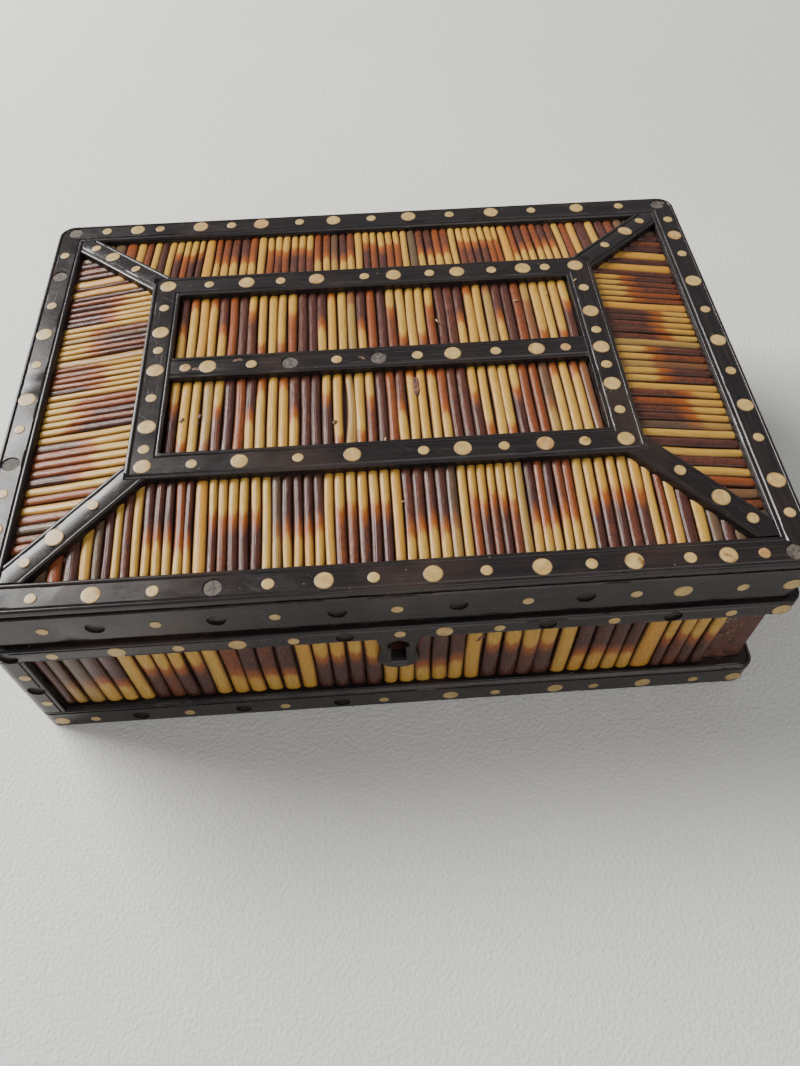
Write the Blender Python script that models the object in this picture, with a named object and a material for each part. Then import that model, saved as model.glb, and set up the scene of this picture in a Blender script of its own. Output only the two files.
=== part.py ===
"""Porcupine quill box: a wooden carcass faced with ebony strips and sheets of split quills.

The origin is on the surface that the box stands on, under the middle of the box. +X is to the
right of the front, +Y goes to the back and +Z is up. All lengths are in metres.
"""
import math

import bpy
import bmesh
from mathutils import Vector

# Space left between two pieces that touch
GAP = 0.0003

# Lid, over the ebony
LID_LENGTH = 0.250
LID_DEPTH = 0.181
LID_HEIGHT = 0.0203
LID_RISE = 0.0048
LID_CORNER_RADIUS = 0.006
LID_BOARD_THICKNESS = 0.005
LID_RIM_THICKNESS = 0.006
RAISED_LENGTH = 0.164
RAISED_DEPTH = 0.0968

# Ebony strips
STRIP_WIDTH = 0.0104
LID_STRIP_THICKNESS = 0.0041
UPRIGHT_STRIP_THICKNESS = 0.0046
DIAGONAL_WIDTH = 0.0092
BAR_WIDTH = 0.0100
BEAD_WIDTH = 0.0014
GROOVE_WIDTH = 0.0004
GROOVE_DEPTH = 0.0004
EDGE_ROUNDING = 0.0004
REBATE_DEPTH = 0.0008
LID_FOOT_REBATE_HEIGHT = 0.0016
LID_TOP_BEAD_HEIGHT = 0.0027

# Base
BASE_HEIGHT = 0.057
BASE_MARGIN = 0.0014
BASE_CORNER_RADIUS = 0.005
WALL_THICKNESS = 0.008
FLOOR_THICKNESS = 0.006
TOP_RAIL_HEIGHT = 0.0073
BOTTOM_RAIL_HEIGHT = 0.0118

# Split quills: how many lie side by side, how far they stay below the strips, what share of the
# sheet's thickness they stand up, and where the crest of each starts and stops across it
SIDE_QUILL_RECESS = 0.0021
LID_QUILL_RECESS = 0.0020
QUILL_RELIEF = 0.55
QUILL_CREST_START = 0.28
QUILL_CREST_STOP = 0.72
FRONT_QUILLS = 42
FRONT_QUILLS_LOST = 2
END_QUILLS = 30
LID_LONG_QUILLS = 64
LID_SHORT_QUILLS = 47
INNER_QUILLS = 40
BLUNT_TIP = 0.0015

# Keyhole plate and keyhole
PLATE_WIDTH = 0.0138
PLATE_NECK_WIDTH = 0.0112
PLATE_HEIGHT = 0.0206
PLATE_CHEEK_DROP = 0.0165
PLATE_RECESS = 0.0002
KEYHOLE_WIDTH = 0.0066
KEYHOLE_SLOT_WIDTH = 0.0046
KEYHOLE_HEIGHT = 0.0142

# Sockets left by lost bone dots: each place is a share of the half length of its strip
DOT_DIAMETER = 0.0058
SOCKET_DEPTH = 0.0010
SOCKET_SIDES = 10
LID_TOP_SOCKETS = {"front": (-0.42, 0.95), "back": (-0.95, 0.95), "left": (-0.39, 0.65)}
LID_EDGE_SOCKETS = {"front": (-0.72, -0.43, -0.15, 0.14, 0.45)}
BAR_SOCKETS = (-0.43, -0.01)
TOP_RAIL_SOCKETS = {"front": (-0.95, -0.135, 0.365, 0.68)}
BOTTOM_RAIL_SOCKETS = {"front": (-0.73, -0.44, -0.17)}
POST_SOCKET_SHARE = 0.46
BOTTOM_RAIL_SOCKET_HEIGHT = 0.0043

# Working sizes
BASE_LENGTH = LID_LENGTH + 2 * BASE_MARGIN
BASE_DEPTH = LID_DEPTH + 2 * BASE_MARGIN
LID_FOOT = BASE_HEIGHT + GAP
LID_TOP = LID_FOOT + LID_HEIGHT
FRAME_INNER_LENGTH = LID_LENGTH - 2 * STRIP_WIDTH
FRAME_INNER_DEPTH = LID_DEPTH - 2 * STRIP_WIDTH
MITRE_SHIFT = GAP / math.sqrt(2)

# Faces on half a rounded corner, on a post's corner, round the keyhole and along the plate's edges
CORNER_STEPS = 2
POST_CORNER_STEPS = 4
KEYHOLE_STEPS = 12
PLATE_STEPS = 6

# Two places closer than this are the same place
SAME_PLACE = 1e-7

SIDES = {"right": 0.0, "back": 90.0, "left": 180.0, "front": 270.0}


def clear_scene():
    """Remove whatever objects the scene starts with."""
    for item in list(bpy.data.objects):
        bpy.data.objects.remove(item, do_unlink=True)


def principled(name, color, roughness):
    """A plain material for one piece."""
    material = bpy.data.materials.new(name)
    material.use_nodes = True
    shader = material.node_tree.nodes["Principled BSDF"]
    shader.inputs["Base Color"].default_value = (*color, 1.0)
    shader.inputs["Roughness"].default_value = roughness
    material.diffuse_color = (*color, 1.0)
    return material


def ebony(name):
    return principled(name + "_ebony", (0.022, 0.018, 0.017), 0.32)


def quill(name):
    return principled(name + "_quill", (0.52, 0.30, 0.11), 0.30)


def carcass(name):
    return principled(name + "_carcass_wood", (0.16, 0.055, 0.030), 0.65)


def finish(name, mesh, material):
    """Make one object of a finished bmesh, with its faces pointing out."""
    bmesh.ops.recalc_face_normals(mesh, faces=mesh.faces)
    data = bpy.data.meshes.new(name)
    mesh.to_mesh(data)
    mesh.free()
    data.materials.append(material)
    item = bpy.data.objects.new(name, data)
    bpy.context.scene.collection.objects.link(item)
    return item


def corner_point(half_x, half_y, radius, inset, corner, angle):
    """A point on the corner whose diagonal points to corner degrees, at angle along its arc.

    What lies further in than half the radius has a sharp corner.
    """
    sign_x = 1.0 if math.cos(math.radians(corner)) > 0 else -1.0
    sign_y = 1.0 if math.sin(math.radians(corner)) > 0 else -1.0
    reach = radius if inset < radius / 2 else inset
    bend = reach - inset
    turn = math.radians(angle)
    x = sign_x * (half_x - reach) + bend * math.cos(turn)
    y = sign_y * (half_y - reach) + bend * math.sin(turn)
    return x, y


def frame_side(name, side, half_x, half_y, radius, profile, material):
    """One side of a mitred frame: profile lists (inset from the outline, height) round the section."""
    normal = SIDES[side]
    turn = math.radians(normal)
    along = Vector((-math.sin(turn), math.cos(turn), 0.0))
    steps = CORNER_STEPS if radius > 0 else 0
    turns = [45.0 * k / CORNER_STEPS for k in range(steps + 1)]
    stations = [(normal - 45.0, normal - 45.0 + turned) for turned in turns]
    stations += [(normal + 45.0, normal + 45.0 - turned) for turned in reversed(turns)]
    mesh = bmesh.new()
    known = {}

    def vertex(point):
        key = tuple(round(value / SAME_PLACE) for value in point)
        if key not in known:
            known[key] = mesh.verts.new(point)
        return known[key]

    rings = []
    for index, (corner, angle) in enumerate(stations):
        shift = along * (MITRE_SHIFT if index <= steps else -MITRE_SHIFT)
        ring = []
        for inset, height in profile:
            x, y = corner_point(half_x, half_y, radius, inset, corner, angle)
            ring.append(vertex(Vector((x, y, height)) + shift))
        rings.append(ring)
    add_tube(mesh, rings)
    return finish(name, mesh, material)


def add_tube(mesh, rings):
    """Join rings of vertices by faces and close both ends."""
    count = len(rings[0])
    for ring, following in zip(rings, rings[1:]):
        for k in range(count):
            after = (k + 1) % count
            corners = [ring[k], ring[after], following[after], following[k]]
            add_face(mesh, corners)
    add_face(mesh, rings[0])
    add_face(mesh, rings[-1])


def add_face(mesh, corners):
    """Add a face, leaving out corners that fell together."""
    kept = []
    for corner in corners:
        if corner not in kept:
            kept.append(corner)
    if len(kept) > 2:
        mesh.faces.new(kept)


def slab(name, profile, start, stop, origin, axes, slope, underside, material, breaks=()):
    """A ribbed sheet: profile lists (place across, height), start and stop say where it begins and ends.

    The sheet lies along the second of its three axes and from where it begins it rises along its
    third by slope. breaks are the places across it where its ends change direction.
    """
    across, along, normal = (Vector(axis) for axis in axes)
    mesh = bmesh.new()

    def place(u, v, height):
        return Vector(origin) + across * u + along * v + normal * (slope * (v - start(u)) + height)

    first, last = profile[0][0], profile[-1][0]
    near = [mesh.verts.new(place(u, start(u), height)) for u, height in profile]
    far = [mesh.verts.new(place(u, stop(u), height)) for u, height in profile]
    corners = [first] + [u for u in sorted(breaks) if first < u < last] + [last]
    near_under = [mesh.verts.new(place(u, start(u), underside)) for u in corners]
    far_under = [mesh.verts.new(place(u, stop(u), underside)) for u in corners]
    for k in range(len(profile) - 1):
        mesh.faces.new((near[k], near[k + 1], far[k + 1], far[k]))
    for top, under in ((near, near_under), (far, far_under)):
        for k in range(len(corners) - 1):
            edge = [vert for vert, (u, _) in zip(top, profile)
                    if corners[k] - SAME_PLACE <= u <= corners[k + 1] + SAME_PLACE]
            mesh.faces.new([under[k]] + edge + [under[k + 1]])
    mesh.faces.new((near_under[0], near[0], far[0], far_under[0]))
    mesh.faces.new((near_under[-1], near[-1], far[-1], far_under[-1]))
    for k in range(len(corners) - 1):
        mesh.faces.new((near_under[k], near_under[k + 1], far_under[k + 1], far_under[k]))
    return finish(name, mesh, material)


def quill_profile(low, high, count, crest, relief, breaks=()):
    """Heights across count quills laid side by side from low to high, three faces to a quill."""
    pitch = (high - low) / count
    valley = crest - relief
    points = [(low, valley)]
    for k in range(count):
        left = low + k * pitch
        points += [(left + QUILL_CREST_START * pitch, crest), (left + QUILL_CREST_STOP * pitch, crest),
                   (left + pitch, valley)]
    for place in breaks:
        if not low < place < high or any(abs(place - u) < SAME_PLACE for u, _ in points):
            continue
        index = next(k for k, (u, _) in enumerate(points) if u > place)
        (before, a), (after, b) = points[index - 1], points[index]
        share = (place - before) / (after - before)
        points.insert(index, (place, a + share * (b - a)))
    return points


def bead_profile(half_width, mid_break=False):
    """Heights across a strip with a bead along each edge, its flat face at height zero."""
    bead = BEAD_WIDTH
    groove = GROOVE_WIDTH
    right = [(half_width - bead - groove, 0.0), (half_width - bead - groove / 2, -GROOVE_DEPTH),
             (half_width - bead, 0.0), (half_width - EDGE_ROUNDING, 0.0), (half_width, -EDGE_ROUNDING)]
    left = [(-u, height) for u, height in reversed(right)]
    return left + ([(0.0, 0.0)] if mid_break else []) + right


def socket_cutter(name, places):
    """Many-sided plugs at places, each a centre and a direction, to cut the sockets of lost dots."""
    mesh = bmesh.new()
    for centre, direction in places:
        direction = Vector(direction).normalized()
        side = direction.orthogonal().normalized()
        other = direction.cross(side)
        rings = []
        for depth in (-SOCKET_DEPTH, SOCKET_DEPTH):
            ring = []
            for k in range(SOCKET_SIDES):
                angle = 2 * math.pi * k / SOCKET_SIDES
                offset = (side * math.cos(angle) + other * math.sin(angle)) * DOT_DIAMETER / 2
                ring.append(mesh.verts.new(Vector(centre) + offset + direction * depth))
            rings.append(ring)
        add_tube(mesh, rings)
    return as_cutter(finish(name, mesh, ebony(name)))


def as_cutter(item):
    item.hide_render = True
    item.display_type = "WIRE"
    return item


def cut(item, cutter):
    """Take the cutter's space out of a piece."""
    modifier = item.modifiers.new("cut", "BOOLEAN")
    modifier.operation = "DIFFERENCE"
    modifier.solver = "EXACT"
    modifier.object = cutter


def outline_prism(name, outline, front, back, material):
    """A closed outline of (x, z) points, taken from one depth to another along Y."""
    mesh = bmesh.new()
    rings = [[mesh.verts.new((x, y, z)) for x, z in outline] for y in (front, back)]
    add_tube(mesh, rings)
    return finish(name, mesh, material)


def arc(centre_x, centre_z, radius, start, stop, steps):
    """Points on an arc, from start to stop degrees."""
    turns = [math.radians(start + (stop - start) * k / steps) for k in range(steps + 1)]
    return [(centre_x + radius * math.cos(turn), centre_z + radius * math.sin(turn)) for turn in turns]


def along_side(side, half_x, half_y, share, inset):
    """The point a share of the half length along a side, counted to the right or to the back."""
    if side == "front":
        return share * half_x, -half_y + inset
    if side == "back":
        return share * half_x, half_y - inset
    if side == "left":
        return -half_x + inset, share * half_y
    return half_x - inset, share * half_y


def outward(side):
    turn = math.radians(SIDES[side])
    return math.cos(turn), math.sin(turn), 0.0


def build_base_carcass():
    """Four mitred walls on the edge of a floor board."""
    half_x = BASE_LENGTH / 2 - UPRIGHT_STRIP_THICKNESS - GAP
    half_y = BASE_DEPTH / 2 - UPRIGHT_STRIP_THICKNESS - GAP
    profile = [(0.0, 0.0), (0.0, BASE_HEIGHT), (WALL_THICKNESS, BASE_HEIGHT), (WALL_THICKNESS, 0.0)]
    walls = {}
    for side in SIDES:
        name = "base_wall_" + side
        walls[side] = frame_side(name, side, half_x, half_y, 0.0, profile, carcass(name))
    mesh = bmesh.new()
    bmesh.ops.create_cube(mesh, size=1.0)
    inner_x = 2 * (half_x - WALL_THICKNESS - GAP)
    inner_y = 2 * (half_y - WALL_THICKNESS - GAP)
    bmesh.ops.scale(mesh, vec=(inner_x, inner_y, FLOOR_THICKNESS), verts=mesh.verts)
    bmesh.ops.translate(mesh, vec=(0.0, 0.0, FLOOR_THICKNESS / 2), verts=mesh.verts)
    finish("base_floor", mesh, carcass("base_floor"))
    return walls


def build_base_rails():
    """The ebony rails round the foot and the rim of the base."""
    depth = UPRIGHT_STRIP_THICKNESS
    soft = EDGE_ROUNDING
    ledge = BOTTOM_RAIL_HEIGHT
    foot = [(depth, 0.0), (soft, 0.0), (0.0, soft), (0.0, ledge - soft), (soft, ledge),
            (BEAD_WIDTH, ledge), (BEAD_WIDTH + GROOVE_WIDTH / 2, ledge - GROOVE_DEPTH),
            (BEAD_WIDTH + GROOVE_WIDTH, ledge), (depth, ledge)]
    top = BASE_HEIGHT
    low = BASE_HEIGHT - TOP_RAIL_HEIGHT
    rim = [(depth, low), (0.0, low), (0.0, top - BEAD_WIDTH - GROOVE_WIDTH),
           (GROOVE_DEPTH, top - BEAD_WIDTH - GROOVE_WIDTH / 2), (0.0, top - BEAD_WIDTH),
           (0.0, top - soft), (soft, top), (depth, top)]
    for label, profile, sockets, height in (
            ("base_bottom_rail_", foot, BOTTOM_RAIL_SOCKETS, BOTTOM_RAIL_SOCKET_HEIGHT),
            ("base_top_rail_", rim, TOP_RAIL_SOCKETS, (low + top - BEAD_WIDTH - GROOVE_WIDTH) / 2)):
        for side in SIDES:
            name = label + side
            rail = frame_side(name, side, BASE_LENGTH / 2, BASE_DEPTH / 2, BASE_CORNER_RADIUS, profile,
                              ebony(name))
            if side in sockets:
                places = []
                for share in sockets[side]:
                    x, y = along_side(side, BASE_LENGTH / 2, BASE_DEPTH / 2, share, 0.0)
                    places.append(((x, y, height), outward(side)))
                cut(rail, socket_cutter(name + "_sockets", places))


def build_posts():
    """Angle-shaped posts on three corners. The one at the front right is lost."""
    low = BOTTOM_RAIL_HEIGHT + GAP
    high = BASE_HEIGHT - TOP_RAIL_HEIGHT - GAP
    half_x, half_y = BASE_LENGTH / 2, BASE_DEPTH / 2
    radius = BASE_CORNER_RADIUS
    depth = UPRIGHT_STRIP_THICKNESS
    soft = EDGE_ROUNDING
    bead = STRIP_WIDTH - BEAD_WIDTH
    groove = STRIP_WIDTH - BEAD_WIDTH - GROOVE_WIDTH
    leg = [(STRIP_WIDTH, depth), (STRIP_WIDTH, soft), (STRIP_WIDTH - soft, 0.0), (bead, 0.0),
           ((bead + groove) / 2, GROOVE_DEPTH), (groove, 0.0)]
    corner = [(radius - radius * math.sin(turn), radius - radius * math.cos(turn))
              for turn in (math.radians(90 * k / POST_CORNER_STEPS) for k in range(POST_CORNER_STEPS + 1))]
    other_leg = [(v, u) for u, v in reversed(leg)]
    outline = leg + corner + other_leg + [(depth, depth)]
    for label, sign_x, sign_y in (("front_left", -1, -1), ("back_left", -1, 1), ("back_right", 1, 1)):
        name = "post_" + label
        mesh = bmesh.new()
        rings = [[mesh.verts.new((sign_x * (half_x - u), sign_y * (half_y - v), z)) for u, v in outline]
                 for z in (low, high)]
        add_tube(mesh, rings)
        post = finish(name, mesh, ebony(name))
        if label == "front_left":
            centre = (-half_x + STRIP_WIDTH / 2, -half_y, low + POST_SOCKET_SHARE * (high - low))
            cut(post, socket_cutter("post_sockets", [(centre, (0.0, -1.0, 0.0))]))


def build_side_quills():
    """Upright quills on the four sides of the base, with the last ones at the front right lost."""
    low = BOTTOM_RAIL_HEIGHT + GAP
    height = BASE_HEIGHT - TOP_RAIL_HEIGHT - GAP - low
    thickness = UPRIGHT_STRIP_THICKNESS - SIDE_QUILL_RECESS
    panels = {}
    for side in SIDES:
        normal = Vector(outward(side))
        across = Vector((-normal.y, normal.x, 0.0))
        long_side = side in ("front", "back")
        half_width = (BASE_LENGTH if long_side else BASE_DEPTH) / 2 - STRIP_WIDTH - GAP
        face = (BASE_DEPTH if long_side else BASE_LENGTH) / 2 - UPRIGHT_STRIP_THICKNESS
        count = FRONT_QUILLS if long_side else END_QUILLS
        pitch = 2 * half_width / count
        lost = FRONT_QUILLS_LOST if side == "front" else 0
        profile = quill_profile(-half_width, half_width - lost * pitch, count - lost, thickness,
                                QUILL_RELIEF * thickness)
        name = "quills_" + side
        origin = normal * face + Vector((0.0, 0.0, low))
        panels[side] = slab(name, profile, lambda u: 0.0, lambda u: height, origin,
                            (across, (0.0, 0.0, 1.0), normal), 0.0, 0.0, quill(name))
    return panels


def keyhole_outline(extra=0.0):
    """A round hole over a narrower slot, hanging from just under the rim's rail."""
    half = KEYHOLE_WIDTH / 2 + extra
    slot = KEYHOLE_SLOT_WIDTH / 2 + extra
    top = BASE_HEIGHT - TOP_RAIL_HEIGHT - 2 * GAP
    centre = top - half - BEAD_WIDTH
    dip = math.degrees(math.acos(slot / half))
    round_part = arc(0.0, centre, half, -dip, 180.0 + dip, KEYHOLE_STEPS)
    bottom = top - KEYHOLE_HEIGHT - BEAD_WIDTH
    return round_part + [(-slot, bottom), (slot, bottom)]


def plate_outline(extra=0.0):
    """A plate with a drawn-in neck, wide cheeks and a curved foot."""
    half = PLATE_WIDTH / 2 + extra
    neck = PLATE_NECK_WIDTH / 2 + extra
    top = BASE_HEIGHT - TOP_RAIL_HEIGHT - 2 * GAP
    cheek = top - PLATE_CHEEK_DROP
    foot = top - PLATE_HEIGHT - extra
    steps = PLATE_STEPS
    left = [(-half, top + 3 * extra)] if extra > 0 else []
    left += [(-(neck + (half - neck) * (0.5 + 0.5 * math.cos(2 * math.pi * k / steps))),
              top + (cheek - top) * k / steps) for k in range(steps + 1)]
    right = [(-x, z) for x, z in reversed(left)]
    curve = []
    for k in range(1, steps):
        share = -1.0 + 2.0 * k / steps
        curve.append((half * share, cheek + (foot - cheek) * (1.0 - share * share)))
    return left + curve + right


def build_keyhole_plate(wall, panel):
    """The dark plate hung in the front quills, with the keyhole through it and the wall."""
    back = -BASE_DEPTH / 2 + UPRIGHT_STRIP_THICKNESS
    front = -BASE_DEPTH / 2 + PLATE_RECESS
    plate = outline_prism("escutcheon", plate_outline(), front, back, ebony("escutcheon"))
    hole = as_cutter(outline_prism("keyhole_cutter", keyhole_outline(), front - PLATE_HEIGHT,
                                   back + WALL_THICKNESS + PLATE_HEIGHT, ebony("keyhole_cutter")))
    pocket = outline_prism("pocket_cutter", plate_outline(GAP), front - PLATE_HEIGHT, back + GAP,
                           ebony("pocket_cutter"))
    cut(plate, hole)
    cut(wall, hole)
    cut(panel, as_cutter(pocket))


def build_lid_carcass():
    """The lid's board, planed to a low raised middle, and the rim boards under it."""
    half_x = LID_LENGTH / 2 - UPRIGHT_STRIP_THICKNESS - GAP
    half_y = LID_DEPTH / 2 - UPRIGHT_STRIP_THICKNESS - GAP
    shoulder = LID_TOP - LID_STRIP_THICKNESS - GAP
    under = shoulder - LID_BOARD_THICKNESS
    rings = []
    mesh = bmesh.new()
    for x, y, z in ((half_x, half_y, under), (half_x, half_y, shoulder),
                    (FRAME_INNER_LENGTH / 2, FRAME_INNER_DEPTH / 2, shoulder),
                    (RAISED_LENGTH / 2, RAISED_DEPTH / 2, shoulder + LID_RISE)):
        rings.append([mesh.verts.new(point) for point in ((x, y, z), (-x, y, z), (-x, -y, z), (x, -y, z))])
    add_tube(mesh, rings)
    finish("lid_board", mesh, carcass("lid_board"))
    top = under - GAP
    profile = [(0.0, LID_FOOT), (0.0, top), (LID_RIM_THICKNESS, top), (LID_RIM_THICKNESS, LID_FOOT)]
    for side in SIDES:
        name = "lid_rim_" + side
        frame_side(name, side, half_x, half_y, 0.0, profile, carcass(name))


def build_lid_edges():
    """The upright ebony strips round the lid."""
    depth = UPRIGHT_STRIP_THICKNESS
    top = LID_TOP - LID_STRIP_THICKNESS - GAP
    rebate = LID_FOOT + LID_FOOT_REBATE_HEIGHT
    soft = EDGE_ROUNDING
    profile = [(depth, LID_FOOT), (REBATE_DEPTH, LID_FOOT), (REBATE_DEPTH, rebate - soft), (0.0, rebate),
               (0.0, top - soft), (soft, top), (depth, top)]
    for side in SIDES:
        name = "lid_edge_" + side
        strip = frame_side(name, side, LID_LENGTH / 2, LID_DEPTH / 2, LID_CORNER_RADIUS, profile,
                           ebony(name))
        if side in LID_EDGE_SOCKETS:
            places = []
            for share in LID_EDGE_SOCKETS[side]:
                x, y = along_side(side, LID_LENGTH / 2, LID_DEPTH / 2, share, 0.0)
                places.append(((x, y, (rebate + top) / 2), outward(side)))
            cut(strip, socket_cutter(name + "_sockets", places))


def build_lid_frame():
    """The flat frame on the lid: a bead inside, a rounded lip outside and a rebate under the lip."""
    width = STRIP_WIDTH
    top = LID_TOP
    low = LID_TOP - LID_STRIP_THICKNESS
    lip = LID_TOP - LID_TOP_BEAD_HEIGHT
    soft = EDGE_ROUNDING
    flat_start = BEAD_WIDTH + GROOVE_WIDTH
    flat_stop = width - BEAD_WIDTH - GROOVE_WIDTH
    profile = [(REBATE_DEPTH, low), (REBATE_DEPTH, lip), (0.0, lip + soft), (0.0, top - 2 * soft),
               (2 * soft, top), (BEAD_WIDTH, top), (BEAD_WIDTH + GROOVE_WIDTH / 2, top - GROOVE_DEPTH),
               (flat_start, top), (flat_stop, top), (flat_stop + GROOVE_WIDTH / 2, top - GROOVE_DEPTH),
               (width - BEAD_WIDTH, top), (width - soft, top), (width, top - soft), (width, low)]
    places = []
    for side, shares in LID_TOP_SOCKETS.items():
        for share in shares:
            x, y = along_side(side, LID_LENGTH / 2, LID_DEPTH / 2, share, STRIP_WIDTH / 2)
            places.append(((x, y, top), (0.0, 0.0, 1.0)))
    # The sockets at the corners reach into both strips that meet there
    cutter = socket_cutter("lid_frame_sockets", places)
    for side in SIDES:
        name = "lid_frame_" + side
        strip = frame_side(name, side, LID_LENGTH / 2, LID_DEPTH / 2, LID_CORNER_RADIUS, profile,
                           ebony(name))
        cut(strip, cutter)


def build_raised_frame():
    """The raised inner frame of the lid and the bar across its middle."""
    top = LID_TOP + LID_RISE
    low = top - LID_STRIP_THICKNESS
    soft = EDGE_ROUNDING
    flat_start = BEAD_WIDTH + GROOVE_WIDTH
    flat_stop = STRIP_WIDTH - BEAD_WIDTH - GROOVE_WIDTH
    profile = [(0.0, low), (0.0, top - soft), (soft, top), (BEAD_WIDTH, top),
               (BEAD_WIDTH + GROOVE_WIDTH / 2, top - GROOVE_DEPTH), (flat_start, top), (flat_stop, top),
               (flat_stop + GROOVE_WIDTH / 2, top - GROOVE_DEPTH), (STRIP_WIDTH - BEAD_WIDTH, top),
               (STRIP_WIDTH - soft, top), (STRIP_WIDTH, top - soft), (STRIP_WIDTH, low)]
    for side in SIDES:
        name = "lid_rail_" + side
        frame_side(name, side, RAISED_LENGTH / 2, RAISED_DEPTH / 2, 0.0, profile, ebony(name))
    half = RAISED_LENGTH / 2 - STRIP_WIDTH - GAP
    axes = ((0.0, 1.0, 0.0), (1.0, 0.0, 0.0), (0.0, 0.0, 1.0))
    profile = bead_profile(BAR_WIDTH / 2)
    bar = slab("lid_bar", profile, lambda u: -half, lambda u: half, (0.0, 0.0, top), axes, 0.0,
               -LID_STRIP_THICKNESS, ebony("lid_bar"))
    places = [((share * half, 0.0, top), (0.0, 0.0, 1.0)) for share in BAR_SOCKETS]
    cut(bar, socket_cutter("lid_bar_sockets", places))


def slope_run():
    """How far the sloping part of the lid reaches, front and back and then left and right."""
    return (FRAME_INNER_DEPTH - RAISED_DEPTH) / 2, (FRAME_INNER_LENGTH - RAISED_LENGTH) / 2


def build_diagonals():
    """Strips that climb from the corners of the flat frame to those of the raised one."""
    run_y, run_x = slope_run()
    length = math.hypot(run_x, run_y)
    slope = LID_RISE / length
    profile = bead_profile(DIAGONAL_WIDTH / 2, mid_break=True)
    for label, sign_x, sign_y in (("front_left", -1, -1), ("front_right", 1, -1),
                                  ("back_left", -1, 1), ("back_right", 1, 1)):
        along = Vector((-sign_x * run_x, -sign_y * run_y, 0.0)) / length
        across = Vector((along.y, -along.x, 0.0))
        origin = (sign_x * FRAME_INNER_LENGTH / 2, sign_y * FRAME_INNER_DEPTH / 2, LID_TOP)
        # Beside its middle line the strip's ends follow the two sides of each corner
        to_x = run_x / run_y
        to_y = run_y / run_x
        right_is_x = across.x * sign_x < 0
        lean_right, lean_left = (to_x, to_y) if right_is_x else (to_y, to_x)

        def lean(u, right=lean_right, left=lean_left):
            return u * right if u > 0 else -u * left

        name = "lid_diagonal_" + label
        slab(name, profile, lambda u, lean=lean: lean(u) + MITRE_SHIFT * 2,
             lambda u, lean=lean: length + lean(u) - MITRE_SHIFT * 2, origin,
             (across, along, (0.0, 0.0, 1.0)), slope, -LID_STRIP_THICKNESS, ebony(name), breaks=(0.0,))


def build_lid_quills():
    """Four sloping sheets of quills round the raised frame and two flat ones in it."""
    run_y, run_x = slope_run()
    thickness = LID_STRIP_THICKNESS - LID_QUILL_RECESS
    relief = QUILL_RELIEF * thickness
    for side in SIDES:
        normal = Vector(outward(side))
        across = Vector((-normal.y, normal.x, 0.0))
        long_side = side in ("front", "back")
        outer = (FRAME_INNER_LENGTH if long_side else FRAME_INNER_DEPTH) / 2
        reach = (FRAME_INNER_DEPTH if long_side else FRAME_INNER_LENGTH) / 2
        run, other_run = (run_y, run_x) if long_side else (run_x, run_y)
        length = math.hypot(run, other_run)
        # The sheet stops at the diagonal strips, whose edges cross the frame this far from its corner
        set_back = (DIAGONAL_WIDTH / 2 + GAP) * length / run
        half = outer - set_back - BLUNT_TIP * other_run / run
        stop_full = run - GAP
        knee = outer - set_back - (stop_full - GAP) * other_run / run - GAP

        def stop(u, full=stop_full, knee=knee, rate=run / other_run):
            return full if abs(u) <= knee else full - (abs(u) - knee) * rate

        count = LID_LONG_QUILLS if long_side else LID_SHORT_QUILLS
        breaks = (-knee, knee)
        profile = quill_profile(-half, half, count, -LID_QUILL_RECESS, relief, breaks)
        origin = normal * reach + Vector((0.0, 0.0, LID_TOP))
        name = "lid_quills_" + side
        slab(name, profile, lambda u: GAP, stop, origin, (across, -normal, (0.0, 0.0, 1.0)),
             LID_RISE / run, -LID_STRIP_THICKNESS, quill(name), breaks)
    half = RAISED_LENGTH / 2 - STRIP_WIDTH - GAP
    top = LID_TOP + LID_RISE
    profile = quill_profile(-half, half, INNER_QUILLS, -LID_QUILL_RECESS, relief)
    low = BAR_WIDTH / 2 + GAP
    high = RAISED_DEPTH / 2 - STRIP_WIDTH - GAP
    for label, sign in (("front", -1.0), ("back", 1.0)):
        name = "lid_quills_inner_" + label
        slab(name, profile, lambda u: low, lambda u: high, (0.0, 0.0, top),
             ((1.0, 0.0, 0.0), (0.0, sign, 0.0), (0.0, 0.0, 1.0)), 0.0, -LID_STRIP_THICKNESS, quill(name))


def main():
    clear_scene()
    walls = build_base_carcass()
    build_base_rails()
    build_posts()
    panels = build_side_quills()
    build_keyhole_plate(walls["front"], panels["front"])
    build_lid_carcass()
    build_lid_edges()
    build_lid_frame()
    build_raised_frame()
    build_diagonals()
    build_lid_quills()


main()
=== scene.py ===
"""Dressing of the porcupine quill box: ebony strips, bone dots, split quills, wood, floor and light.

Lengths are in metres. The box stands on the floor with its front towards -Y and +Z up.
"""
import math
import random

import bpy
import bmesh
from mathutils import Matrix, Vector, noise


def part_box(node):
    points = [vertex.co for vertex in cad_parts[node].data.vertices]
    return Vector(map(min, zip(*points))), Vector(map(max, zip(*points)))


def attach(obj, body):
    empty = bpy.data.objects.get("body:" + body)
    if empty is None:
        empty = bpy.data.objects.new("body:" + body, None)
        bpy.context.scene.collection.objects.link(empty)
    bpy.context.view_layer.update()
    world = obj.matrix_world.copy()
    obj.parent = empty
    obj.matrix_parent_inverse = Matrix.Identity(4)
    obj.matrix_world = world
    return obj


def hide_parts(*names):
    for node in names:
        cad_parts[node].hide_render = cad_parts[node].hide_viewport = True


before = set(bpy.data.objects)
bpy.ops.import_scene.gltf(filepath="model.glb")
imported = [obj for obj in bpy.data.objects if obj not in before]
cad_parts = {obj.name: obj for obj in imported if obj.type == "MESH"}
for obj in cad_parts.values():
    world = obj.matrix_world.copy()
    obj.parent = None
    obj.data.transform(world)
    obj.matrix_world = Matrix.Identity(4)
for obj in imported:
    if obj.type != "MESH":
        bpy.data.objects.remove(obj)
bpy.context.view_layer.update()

MM = 0.001

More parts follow.
